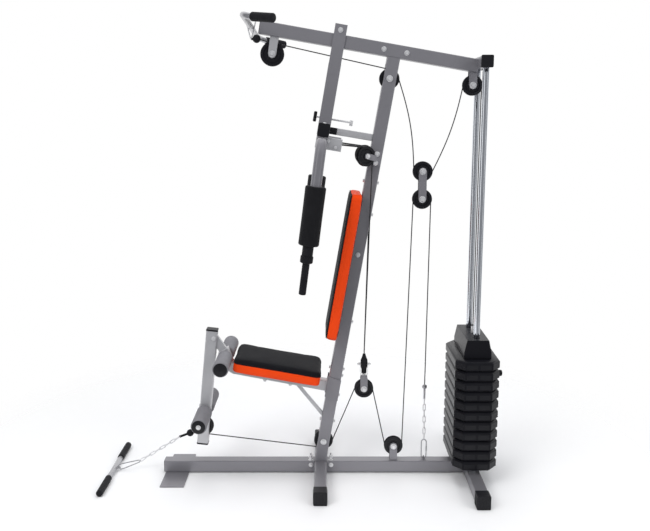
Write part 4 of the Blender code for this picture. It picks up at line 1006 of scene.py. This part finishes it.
def links(name, a, b, count, body):
    """A chain between two points, one link turned a quarter after another."""
    a, b, wire, width = Vector(a), Vector(b), 0.0024, 0.016
    way = (b - a).normalized()
    pitch = (b - a).length / count
    shape = pattern(name + "_link", lambda bm: add_ring(bm, oval(pitch + 3.6 * wire, width, wire), wire, 8))
    turn = way.to_track_quat("Z", "Y").to_matrix().to_4x4()
    spots = [Matrix.Translation(a + way * pitch * (k + 0.5)) @ turn @ Matrix.Rotation(math.pi / 2 * (k % 2), 4, "Z")
             for k in range(count)]
    return scatter(name, spots, shape, body, "zinc", 80)


class GYM_OT_chains(GymOperator, bpy.types.Operator):
    """Hang the anchor chain and the low bar's chain with their stops and clips"""
    bl_idname = "gym.chains"
    bl_label = "Chains"

    def build(self, detail):
        eye, wire = ANCHOR_EYE, 0.0028
        bm = bmesh.new()
        add_ball(bm, ANCHOR, 0.0120)
        add_bar(bm, ANCHOR, (ANCHOR.x, 0, 0.381), 0.0050, 16)
        piece("anchor_stop", bm, ["bare steel"], "frame", stands_for=["anchor_chain"])
        tail = links("anchor_links", (ANCHOR.x, 0, 0.384), (eye.x, 0, ANCHOR_LINK_END - 0.003), 7, "frame")
        bm = bmesh.new()
        clip = oval(ANCHOR_LINK_END - eye.z + wire, 0.030, wire, 10)
        mid = Vector((eye.x, 0, (eye.z - wire + ANCHOR_LINK_END) / 2))
        add_ring(bm, [mid + p for p in clip], wire, 12)
        add_bar(bm, mid + Vector((0.0122, 0, -0.012)), mid + Vector((0.0122, 0, 0.014)), 0.0042, 6, 0.0005)
        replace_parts(piece("anchor_clip", bm, "bare steel", "frame"), "anchor_chain")

        chain_a, chain_b = LOW_BALL + Vector((-0.052, 0, -0.020)), LOW_LINK_END
        bm = bmesh.new()
        add_ball(bm, LOW_BALL, 0.0180)
        add_bar(bm, LOW_BALL, chain_a + Vector((-0.003, 0, -0.0012)), 0.0060, 20)
        piece("low_stop", bm, ["rubber"], "low_grip", stands_for=["low_chain"])
        links("low_links", chain_a, chain_b, 8, "low_grip")
        clip_b = LOW_BAR + Vector((0.0195, 0, 0.001))
        way = (clip_b - chain_b).normalized()
        across = way.cross(SIDE)
        mid = (clip_b + chain_b) / 2
        n = (clip_b - chain_b).length
        outline = [(-0.5 * n - 0.001, 0.0), (-0.42 * n, 0.0060), (0.30 * n, 0.0135), (0.46 * n, 0.0120),
                   (0.5 * n + 0.001, 0.0040), (0.5 * n + 0.001, -0.0040), (0.46 * n, -0.0120), (0.30 * n, -0.0135),
                   (-0.42 * n, -0.0060)]
        bm = bmesh.new()
        add_ring(bm, [mid + way * u + across * v for u, v in outline], wire, 12)
        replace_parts(piece("low_clip", bm, "bare steel", "low_grip"), "low_chain")


class GYM_OT_stack(GymOperator, bpy.types.Operator):
    """Stack the plates on their rods with the top block and the selector pin"""
    bl_idname = "gym.stack"
    bl_label = "Weight stack"

    def build(self, detail):
        for tag in ("near", "far"):
            low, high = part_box("guide_rod_" + tag)
            bm = bmesh.new()
            mid = (low + high) / 2
            add_bar(bm, (mid.x, mid.y, low.z), (mid.x, mid.y, high.z), 0.0155, 48)
            piece("guide_rod_" + tag + "_turned", bm, "chrome", "frame", 60, ["guide_rod_" + tag])
        low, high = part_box("resting_plates")
        hx, hy = (high.x - low.x) / 2, (high.y - low.y) / 2
        label = rounded(0.052, 0.023, 0.002, 3)             # two blank patches on each end of a plate
        for node, first, count, body in (("resting_plates", 0, PLATES - LIFTED, "frame"),
                                         ("lifted_plates", PLATES - LIFTED, LIFTED, "carriage")):
            bm = bmesh.new()
            for k in range(first, first + count):
                z0 = STACK_Z + k * PITCH
                rings = []
                for z, inset in ((0.0006, 0.0075), (0.0014, 0.0064), (0.0076, 0.0006), (0.0086, 0.0),
                                 (PITCH - 0.0112, 0.0), (PITCH - 0.0100, 0.0006), (PITCH - 0.0030, 0.0070),
                                 (PITCH - 0.0021, 0.0084)):
                    x, y = hx - inset, hy - inset
                    inner_x, inner_y = x - 0.040, y - 0.048     # where the cut corners start
                    outline = [(x, -inner_y), (x, inner_y), (inner_x, y), (-inner_x, y), (-x, inner_y),
                               (-x, -inner_y), (-inner_x, -y), (inner_x, -y)]
                    rings.append([Vector((STACK.x + a, b, z0 + z)) for a, b in outline])
                add_loft(bm, rings)
                for s in (-1, 1):
                    for u in (-1, 1):
                        spot = Vector((STACK.x + u * 0.0320, s * hy, z0 + 0.0225))
                        add_plate(bm, label,
                                  lambda a, b, w, spot=spot, s=s: spot + Vector((a, s * (w - 0.0010), b)),
                                  0.0016, 0.0004, 1)
            piece(node + "_single", bm, ["stack paint", "black plastic"], body, 25, [node])
        refined("top_block", ["stack paint", "zinc"], "carriage", ease=0.0012,
                        paint_by=lambda c: int(c.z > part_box("top_block")[1].z - 0.0295
                                               and abs(c.y) < 0.02))
        low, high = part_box("selector_pin")
        z = (low.z + high.z) / 2
        bm = bmesh.new()
        length = high.x - low.x
        add_lathe(bm, [(0, -length), (0.0044, -length), (0.0050, 0.002 - length), (0.0050, -0.034),
                       (0.0062, -0.033), (0.0062, -0.030), (0, -0.030)], (high.x, 0, z), (1, 0, 0), 32)
        knob = [(0, -0.0335), (0.0125, -0.0330), (0.0157, -0.028), (0.0160, -0.026), (0.0160, -0.008),
                (0.0148, -0.003), (0.0110, 0), (0, 0)]
        add_lathe(bm, knob, (high.x, 0, z), (1, 0, 0), 48, 1)
        piece("selector_pin_turned", bm, ["zinc", "black plastic"], "pin", 40, ["selector_pin"])


def add_grip(bm, a, b, r, rings):
    """A moulded rubber grip from a to b: domed ends and a few raised rings."""
    a, b = Vector(a), Vector(b)
    n = (b - a).length
    profile = [(0, 0), (r * 0.62, 0), (r * 0.90, 0.0016), (r, 0.0050)]
    for k in range(rings):
        t = n * (k + 0.5) / rings
        profile += [(r, t - 0.0016), (r - 0.0007, t - 0.0008), (r - 0.0007, t + 0.0008), (r, t + 0.0016)]
    profile += [(r, n - 0.0050), (r * 0.90, n - 0.0016), (r * 0.62, n), (0, n)]
    add_lathe(bm, profile, a, b - a, 48)


class GYM_OT_bars(GymOperator, bpy.types.Operator):
    """Build the lat bar, its hook, the low bar and the lock rod"""
    bl_idname = "gym.bars"
    bl_label = "Bars and hooks"

    def build(self, detail):
        x, half, h = LAT_X, 0.0255, 0.095                   # the hook's half width and its height
        z = LAT_Z + (LAT_BAR_R + 0.0026) / math.sin(math.atan(half / h))    # the bar lies in the hook's corner
        roll = math.sin(math.radians(1.8))                  # the far end hangs lower
        path = [(0.131, 0.455, -0.031), (0.026, 0.387, -0.015), (0.010, 0.372, -0.008), (0.0, 0.350, -0.004)]

        def hung(p, s):
            return Vector((x + p[0], s * p[1], z + p[2] - s * p[1] * roll))
        smooth = []
        for p, q in zip(path, path[1:]):
            smooth += [Vector(p).lerp(Vector(q), k / 4) for k in range(4)]
        smooth.append(Vector(path[-1]))
        for _ in range(3):
            inside = [(a + b * 2 + c) / 4 for a, b, c in zip(smooth, smooth[1:], smooth[2:])]
            smooth = [smooth[0]] + inside + [smooth[-1]]
        bm = bmesh.new()
        add_tube(bm, [hung(p, -1) for p in smooth] + [hung(p, 1) for p in smooth[::-1]], LAT_BAR_R, 32)
        piece("lat_bar_tube", bm, "bare steel", "lat_grip", 60, ["lat_bar"])
        bm = bmesh.new()
        for s in (-1, 1):
            a, b = (hung(p, s) for p in path[:2])
            add_grip(bm, a + (a - b).normalized() * 0.004, a.lerp(b, 0.88), 0.0190, 9)
        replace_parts(piece("lat_bar_grips", bm, "rubber", "lat_grip"), "lat_bar")
        corners = [Vector((x - half, 0, LAT_Z + h)), Vector((x + half, 0, LAT_Z + h)), Vector((x, 0, LAT_Z))]
        loop = []
        for i, p in enumerate(corners):
            a, b = (corners[i - 1] - p).normalized(), (corners[(i + 1) % 3] - p).normalized()
            for k in range(9):
                t = k / 8
                loop.append(p + a * 0.010 * (1 - t) ** 2 + b * 0.010 * t ** 2)
        bm = bmesh.new()
        add_ring(bm, loop, 0.0030, 12)
        piece("lat_hook_wire", bm, "zinc", "lat_grip", 60, ["lat_hook"])
        bm = bmesh.new()
        add_ball(bm, LAT_BALL, 0.0190)
        add_bar(bm, (x + 0.001, 0, LAT_Z + 0.004), LAT_BALL, 0.0050, 16)
        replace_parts(piece("lat_ball", bm, "rubber", "lat_grip"), "lat_hook")

        low_x, _, r = LOW_BAR
        bm = bmesh.new()
        add_bar(bm, (low_x, -0.285, r), (low_x, 0.285, r), 0.0125, 32, 0.001)
        ring = [Vector((low_x + 0.008 + 0.020 * math.sin(a), 0.013 * math.cos(a), r))
                for a in (math.pi * k / 16 for k in range(17))]
        add_tube(bm, ring, 0.0030, 12)
        piece("low_bar_tube", bm, "bare steel", "low_grip", 60, ["low_bar"])
        bm = bmesh.new()
        for s in (-1, 1):
            add_grip(bm, (low_x, s * 0.290, r), (low_x, s * 0.115, r), r, 12)
        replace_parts(piece("low_bar_grips", bm, "rubber", "low_grip"), "low_bar")

        lock = joint_at("lock_turn")
        hook = lock + BACK * 0.122
        bend = [hook - BACK * 0.010 + (BACK * math.sin(a) - UP * (1 - math.cos(a))) * 0.010
                for a in (math.pi / 2 * k / 8 for k in range(9))]
        bm = bmesh.new()
        add_tube(bm, [lock - BACK * 0.050] + bend + [hook - UP * 0.0155], 0.0046, 20)
        add_bar(bm, hook - UP * 0.0150, hook + UP * 0.0110, 0.0078, 24, 0.0010)
        piece("lock_rod_wire", bm, "zinc", "lock", 60, ["lock_rod"])
        knob = lock - BACK * 0.050
        bm = bmesh.new()
        add_bar(bm, knob - UP * 0.024, knob + UP * 0.024, 0.0078, 24, 0.003)
        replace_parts(piece("lock_knob", bm, "black plastic", "lock"), "lock_rod")


class GYM_OT_arms(GymOperator, bpy.types.Operator):
    """Dress the butterfly arms with their foams, collars and grips"""
    bl_idname = "gym.arms"
    bl_label = "Butterfly arms"

    def build(self, detail):
        down = -Vector((math.sin(math.radians(7.4)), 0, math.cos(math.radians(7.4))))
        for tag, s in (("near", -1), ("far", 1)):
            body = "butterfly_" + tag
            hub = joint_at(body + "_swing")
            mid = hub - UP * ARM_DROP
            out = SIDE * s
            knee = mid + out * ARM_REACH
            path = [mid] + [knee + (down - out + out * math.sin(a) - down * math.cos(a)) * ARM_BEND
                            for a in (math.pi / 2 * k / 16 for k in range(17))]
            foam_at = knee + down * FOAM_ALONG
            end = foam_at + down * ARM_END
            bm = bmesh.new()
            add_tube(bm, path + [foam_at, end], ARM_R, 48)
            add_bar(bm, hub, hub - UP * 0.058, 0.0270, 48, 0.0012)
            lever = [[p + UP * v + out * u for u, v in rounded(0.034, 0.056, 0.004, 4)]
                     for p in (mid, mid + BACK * ARM_LEVER)]
            add_loft(bm, lever, material=1)
            for v, u in ((0.012, 0.030), (-0.012, 0.066)):
                bolt_at = mid + BACK * u + UP * v + out * 0.0165
                add_bar(bm, bolt_at, bolt_at + out * 0.0050, 0.0085, 6, 0.0010, 2)
            piece("butterfly_arm_" + tag + "_bent", bm, ["tube paint", "light paint", "zinc"], body, 40,
                  ["butterfly_arm_" + tag])
            bm = bmesh.new()
            add_bar(bm, foam_at + down * 0.255, end, 0.0246, 48, 0.001)
            add_bar(bm, end - down * 0.004, end + down * 0.028, 0.0285, 48, 0.003)
            add_grip(bm, end + down * 0.020, end + down * 0.174, 0.0165, 12)
            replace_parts(piece("arm_grip_" + tag, bm, "rubber", body), "butterfly_arm_" + tag)
            bm = bmesh.new()
            add_lathe(bm, foam_profile(ARM_R + 0.0005, 0.046, 0.262), foam_at, down, 72)
            node = "arm_foam_" + tag
            foam = piece(node + "_soft", bm, "black foam", body, 60, [node])


def foam_profile(bore, r, n):
    """(radius, along) of a foam sleeve: round edges, a slightly hollow end face and a faint waist."""
    edge = 0.008
    corner = [(r - edge + edge * math.sin(a), edge - edge * math.cos(a))
              for a in (math.pi / 2 * k / 6 for k in range(7))]
    side = [(r - 0.0006 * math.sin(math.pi * k / 8), edge + (n - 2 * edge) * k / 8) for k in range(1, 8)]
    first = [(bore, 0.0012)] + corner
    return first + side + [(a, n - t) for a, t in first[::-1]]


class GYM_OT_rollers(GymOperator, bpy.types.Operator):
    """Fit the foam rollers of the leg lever with their end caps"""
    bl_idname = "gym.rollers"
    bl_label = "Leg rollers"

    def build(self, detail):
        for name, at in (("knee", KNEE), ("ankle", ANKLE)):
            for tag, s in (("near", -1), ("far", 1)):
                node = f"{name}_roller_{tag}"
                start = Vector((at.x, s * 0.034, at.z))
                bm = bmesh.new()
                add_lathe(bm, foam_profile(0.0118, 0.038, 0.198), start, SIDE * s, 72)
                foam = piece(node + "_soft", bm, "grey foam", node, 60, [node])
                bm = bmesh.new()
                add_lathe(bm, [(0, 0.0), (0.0300, 0.0), (0.0325, 0.0015), (0.0325, 0.0030), (0.0280, 0.0046),
                               (0.0150, 0.0052), (0.0130, 0.0060), (0, 0.0064)],
                          start + SIDE * s * 0.1972, SIDE * s, 48)
                piece(node + "_cap", bm, "black plastic", "lever" if name == "ankle" else "frame")


def pad_shape(length, width, height, crown):
    """A stuffed cushion's mesh: its cover reaches down round the board, to local z = 0."""
    bm = bmesh.new()
    rings = []
    for z, inset in ((0.0110, 0.0160), (0.0010, 0.0150), (0.0005, 0.0090), (0.0012, 0.0040), (0.0050, 0.0008),
                     (0.0120, 0.0), (height * 0.5, 0.0), (height - 0.0190, 0.0006), (height - 0.0120, 0.0024),
                     (height - 0.0066, 0.0058), (height - 0.0030, 0.0110), (height - 0.0010, 0.0190),
                     (height, 0.0330)):
        outline = rounded(length - 2 * inset, width - 2 * inset, max(0.026 - inset * 0.4, 0.012), 8)
        rings.append([Vector((u, v, z)) for u, v in outline])
    for share, lift in ((0.86, 0.42), (0.66, 0.74), (0.40, 0.93), (0.14, 1.0)):
        outline = rounded((length - 0.066) * share, (width - 0.066) * share, 0.016 * share, 8)
        rings.append([Vector((u, v, height + crown * lift)) for u, v in outline])
    add_loft(bm, rings)
    return bm


def stuffed(name, bm, puff):
    """The cushion with its cover pushed out by the filling: a cloth simulation on an even mesh."""
    mesh = bpy.data.meshes.new(name)
    bm.to_mesh(mesh)
    bm.free()
    obj = bpy.data.objects.new(name, mesh)
    bpy.context.scene.collection.objects.link(obj)
    even = obj.modifiers.new("even", "REMESH")
    even.mode = "VOXEL"
    even.voxel_size = 0.0055
    flatten(obj)
    start = [v.co.copy() for v in obj.data.vertices]
    cloth = obj.modifiers.new("cloth", "CLOTH")
    cloth.settings.use_pressure = True
    cloth.settings.uniform_pressure_force = 2.0
    cloth.settings.effector_weights.gravity = 0
    cloth.settings.quality = 6
    scene = bpy.context.scene
    for f in range(1, 19):
        scene.frame_set(f)
    flatten(obj)
    scene.frame_set(1)
    for v, s in zip(obj.data.vertices, start):
        move = v.co - s
        if move.length > puff:
            v.co = s + move.normalized() * puff
    round_off = obj.modifiers.new("round", "SUBSURF")
    round_off.levels = round_off.render_levels = 1
    flatten(obj)
    return obj


def add_stitch(bm):
    """One stitch along X: a short arched thread."""
    arch = [(-0.0018, -0.0004, 0), (-0.0010, 0.0002, 0), (0.0010, 0.0002, 0), (0.0018, -0.0004, 0)]
    add_tube(bm, arch, 0.00035, 5)


def seam_line(edges):
    """The corners of one closed line of edges, in order."""
    after = {}
    for e in edges:
        a, b = e.verts
        after.setdefault(a, []).append(b)
        after.setdefault(b, []).append(a)
    start = next(iter(after))
    line, last, now = [start.co.copy()], start, after[start][0]
    while now != start:
        line.append(now.co.copy())
        last, now = now, next(v for v in after[now] if v != last)
    return line


class GYM_OT_pads(GymOperator, bpy.types.Operator):
    """Stuff the seat and the backrest, with their coloured band, piping and stitches"""
    bl_idname = "gym.pads"
    bl_label = "Pads"

    def build(self, detail):
        def lying(length_way, out, spot):
            """A matrix whose X runs along a pad and whose Z looks out of it."""
            return Matrix.Translation(spot) @ Matrix((length_way, SIDE, out)).transposed().to_4x4()

        run, rise = math.cos(SEAT_PITCH), math.sin(SEAT_PITCH)
        seat = lying(Vector((run, 0, -rise)), Vector((rise, 0, run)), Vector((-0.13435, 0, 0.52794)))
        back = lying(UP, -BACK, on_upright(0.9900, -TUBE / 2 - GAP))
        stitch = pattern("stitch", add_stitch)
        for name, matrix, (length, width, height), crown, band in (
                ("seat", seat, (0.426, 0.300, 0.069), 0.004, 0.049),
                ("back", back, (0.710, 0.280, 0.058), 0.003, 0.052)):
            bm = bmesh.new()
            add_plate(bm, rounded(length - 0.042, width - 0.042, 0.012), lambda u, v, w: matrix @ Vector((u, v, w)),
                      0.0100, 0.0010)
            piece(name + "_plywood", bm, "black plastic", "frame", stands_for=[name + "_board"])
            bm = pad_shape(length - 0.004, width - 0.004, height - 0.001, crown - 0.001)
            soft = stuffed(name + "_filled", bm, detail.puff)
            bm = bmesh.new()
            bm.from_mesh(soft.data)
            bpy.data.objects.remove(soft)
            bmesh.ops.bisect_plane(bm, geom=bm.verts[:] + bm.edges[:] + bm.faces[:], plane_co=(0, 0, band),
                                   plane_no=(0, 0, 1), dist=1e-5)
            for face in bm.faces:
                face.material_index = int(face.calc_center_median().z < band)
            line = seam_line([e for e in bm.edges if len({f.material_index for f in e.link_faces}) == 2])
            bmesh.ops.transform(bm, matrix=matrix, verts=bm.verts)
            obj = piece(name + "_cushion", bm, ["black cover", "orange cover"], "frame", 70, [name + "_pad"])
            bm = bmesh.new()
            add_ring(bm, [matrix @ (p + Vector((p.x, p.y, 0)).normalized() * 0.0006) for p in line], 0.0021, 12)
            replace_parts(piece(name + "_piping", bm, "black cover", "frame", 70), name + "_pad")
            spots = []
            travelled = 0.0
            for a, b in zip(line, line[1:] + line[:1]):
                step = (b - a).length
                while travelled < step:
                    p = a.lerp(b, travelled / step)
                    out = Vector((p.x, p.y, 0)).normalized()
                    along = (b - a).normalized()
                    turn = Matrix((along, out, Vector((0, 0, 1)))).transposed().to_4x4()
                    for lift in (-0.0050, 0.0050):
                        spots.append(matrix @ Matrix.Translation(p + Vector((0, 0, lift)) + out * 0.0002) @ turn)
                    travelled += detail.stitch_pitch
                travelled -= step
            scatter(name + "_stitches", spots, stitch, "frame", "thread", 80)


class GYM_OT_stage(bpy.types.Operator):
    """Set the floor, the lamps and the camera"""
    bl_idname = "gym.stage"
    bl_label = "Stage"
    bl_options = {"REGISTER", "UNDO"}

    def execute(self, context):
        scene, stage = context.scene, context.scene.gym_stage
        bm = bmesh.new()
        for corner in ((-12, -8), (12, -8), (12, 12), (-12, 12)):
            bm.verts.new((*corner, -0.0008))
        bm.faces.new(bm.verts)
        mesh = bpy.data.meshes.new("floor")
        bm.to_mesh(mesh)
        bm.free()
        floor = bpy.data.objects.new("floor", mesh)
        scene.collection.objects.link(floor)
        mesh.materials.append(floor_finish())
        floor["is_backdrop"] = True
        world = bpy.data.worlds.new("studio")
        scene.world = world
        world.use_nodes = True
        tree = world.node_tree
        seen, lit = tree.nodes["Background"], tree.nodes.new("ShaderNodeBackground")
        seen.inputs["Color"].default_value = (1, 1, 1, 1)
        lit.inputs["Color"].default_value = (0.93, 0.95, 1.0, 1)
        lit.inputs["Strength"].default_value = 0.50 * stage.strength
        room = tree.nodes.new("ShaderNodeBackground")
        tree.links.new(studio_walls(tree), room.inputs["Color"])
        path = tree.nodes.new("ShaderNodeLightPath")
        mixed = lit
        for ray, shown in (("Is Glossy Ray", room), ("Is Camera Ray", seen)):
            mix = tree.nodes.new("ShaderNodeMixShader")
            tree.links.new(path.outputs[ray], mix.inputs[0])
            tree.links.new(mixed.outputs[0], mix.inputs[1])
            tree.links.new(shown.outputs[0], mix.inputs[2])
            mixed = mix
        tree.links.new(mixed.outputs[0], tree.nodes["World Output"].inputs[0])
        low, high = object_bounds()
        aim = (Vector(low) + Vector(high)) / 2
        for name, place, size, power in (
                ("key", (-2.6, -3.4, 4.2), 2.6, 120.0), ("fill", (3.6, -3.0, 2.6), 2.8, 70.0),
                ("top", (0.2, 0.4, 5.0), 3.4, 90.0), ("back", (1.2, 4.6, 3.2), 3.0, 60.0)):
            lamp = bpy.data.lights.new(name, "AREA")
            lamp.shape, lamp.size, lamp.energy = "SQUARE", size, power * stage.strength
            obj = bpy.data.objects.new(name, lamp)
            obj.location = place
            obj.rotation_euler = (aim - Vector(place)).to_track_quat("-Z", "Y").to_euler()
            obj.visible_glossy = False                      # the walls of the room make the highlights
            scene.collection.objects.link(obj)
        shot = bpy.data.cameras.new("photo")
        shot.sensor_width, shot.lens = 36.0, stage.lens
        camera = bpy.data.objects.new("photo", shot)
        camera.location = stage.place
        camera.rotation_euler = (math.pi / 2 - stage.pitch, 0, 0)
        scene.collection.objects.link(camera)
        scene.camera = camera
        scene.view_settings.view_transform = "Standard"
        return {"FINISHED"}


def studio_walls(tree):
    """What glossy surfaces mirror: the white backdrop behind, tall softboxes and the dim room in front."""
    walls = Finish.__new__(Finish)
    walls.tree = tree
    way = walls.node("TexCoord", {}, {}, "Generated")
    parts = walls.node("SeparateXYZ", {}, [way])
    east, north = parts, Value(walls, parts.socket.node.outputs[1])
    turn = walls.node("Math", {"operation": "ARCTAN2"}, [east, north * -1.0])       # 0 towards the camera's side
    glow = 0.0
    for middle, half, level in ((-0.95, 0.30, 0.90), (1.00, 0.20, 0.80), (0.12, 0.10, 0.40)):
        off = walls.node("Math", {"operation": "ABSOLUTE"}, [turn - middle])
        glow = glow + ((half - off) * 5.0).clipped() * level
    off = walls.node("Math", {"operation": "ABSOLUTE"}, [turn])
    level = 0.20 + glow + ((off - 1.75) * 3.0).clipped() * 0.85
    return walls.blend(level.clipped(), (0.03, 0.035, 0.05), (1.0, 1.0, 1.0)).socket


def floor_finish():
    """A pale floor that keeps the shadow but shows white."""
    f = Finish("floor", roughness=0.9)
    f.set("Base Color", f.blend(f.noise(0.7), (0.90, 0.90, 0.90), (0.93, 0.93, 0.93)))
    f.set("Specular IOR Level", 0.0)
    away = f.node("VectorMath", {"operation": "LENGTH"}, [f.place - (0.0, 0.2, 0.0)], "Value")
    far = ((away - 1.0) * 0.9).clipped()
    white = f.tree.nodes.new("ShaderNodeBsdfTransparent")
    mix = f.tree.nodes.new("ShaderNodeMixShader")
    f.tree.links.new(far.socket, mix.inputs[0])
    f.tree.links.new(f.shader.outputs[0], mix.inputs[1])
    f.tree.links.new(white.outputs[0], mix.inputs[2])
    f.tree.links.new(mix.outputs[0], f.tree.nodes["Material Output"].inputs[0])
    return f.material


PIECES = (GYM_OT_tubes, GYM_OT_yoke, GYM_OT_caps, GYM_OT_bolts, GYM_OT_wheels, GYM_OT_cables, GYM_OT_chains,
          GYM_OT_stack, GYM_OT_bars, GYM_OT_arms, GYM_OT_rollers, GYM_OT_pads, GYM_OT_stage)


class GYM_PT_panel(bpy.types.Panel):
    """The gym's operators and settings"""
    bl_idname = "GYM_PT_panel"
    bl_label = "Multi Gym"
    bl_space_type = "VIEW_3D"
    bl_region_type = "UI"
    bl_category = "Multi Gym"

    def draw(self, context):
        for kind in PIECES:
            self.layout.operator(kind.bl_idname)
        for group in (context.scene.gym_look, context.scene.gym_detail, context.scene.gym_stage):
            for key in group.bl_rna.properties.keys():
                if key not in {"rna_type", "name"}:
                    self.layout.prop(group, key)


GROUPS = {"gym_look": GymLook, "gym_detail": GymDetail, "gym_stage": GymStage}
CLASSES = (*GROUPS.values(), *PIECES, GYM_PT_panel)


def register():
    for kind in CLASSES:
        bpy.utils.register_class(kind)
    for key, group in GROUPS.items():
        setattr(bpy.types.Scene, key, PointerProperty(type=group))


def unregister():
    for key in GROUPS:
        delattr(bpy.types.Scene, key)
    for kind in reversed(CLASSES):
        bpy.utils.unregister_class(kind)


def main():
    register()
    for kind in PIECES:
        group, name = kind.bl_idname.split(".")
        getattr(getattr(bpy.ops, group), name)()


if __name__ == "__main__":
    main()
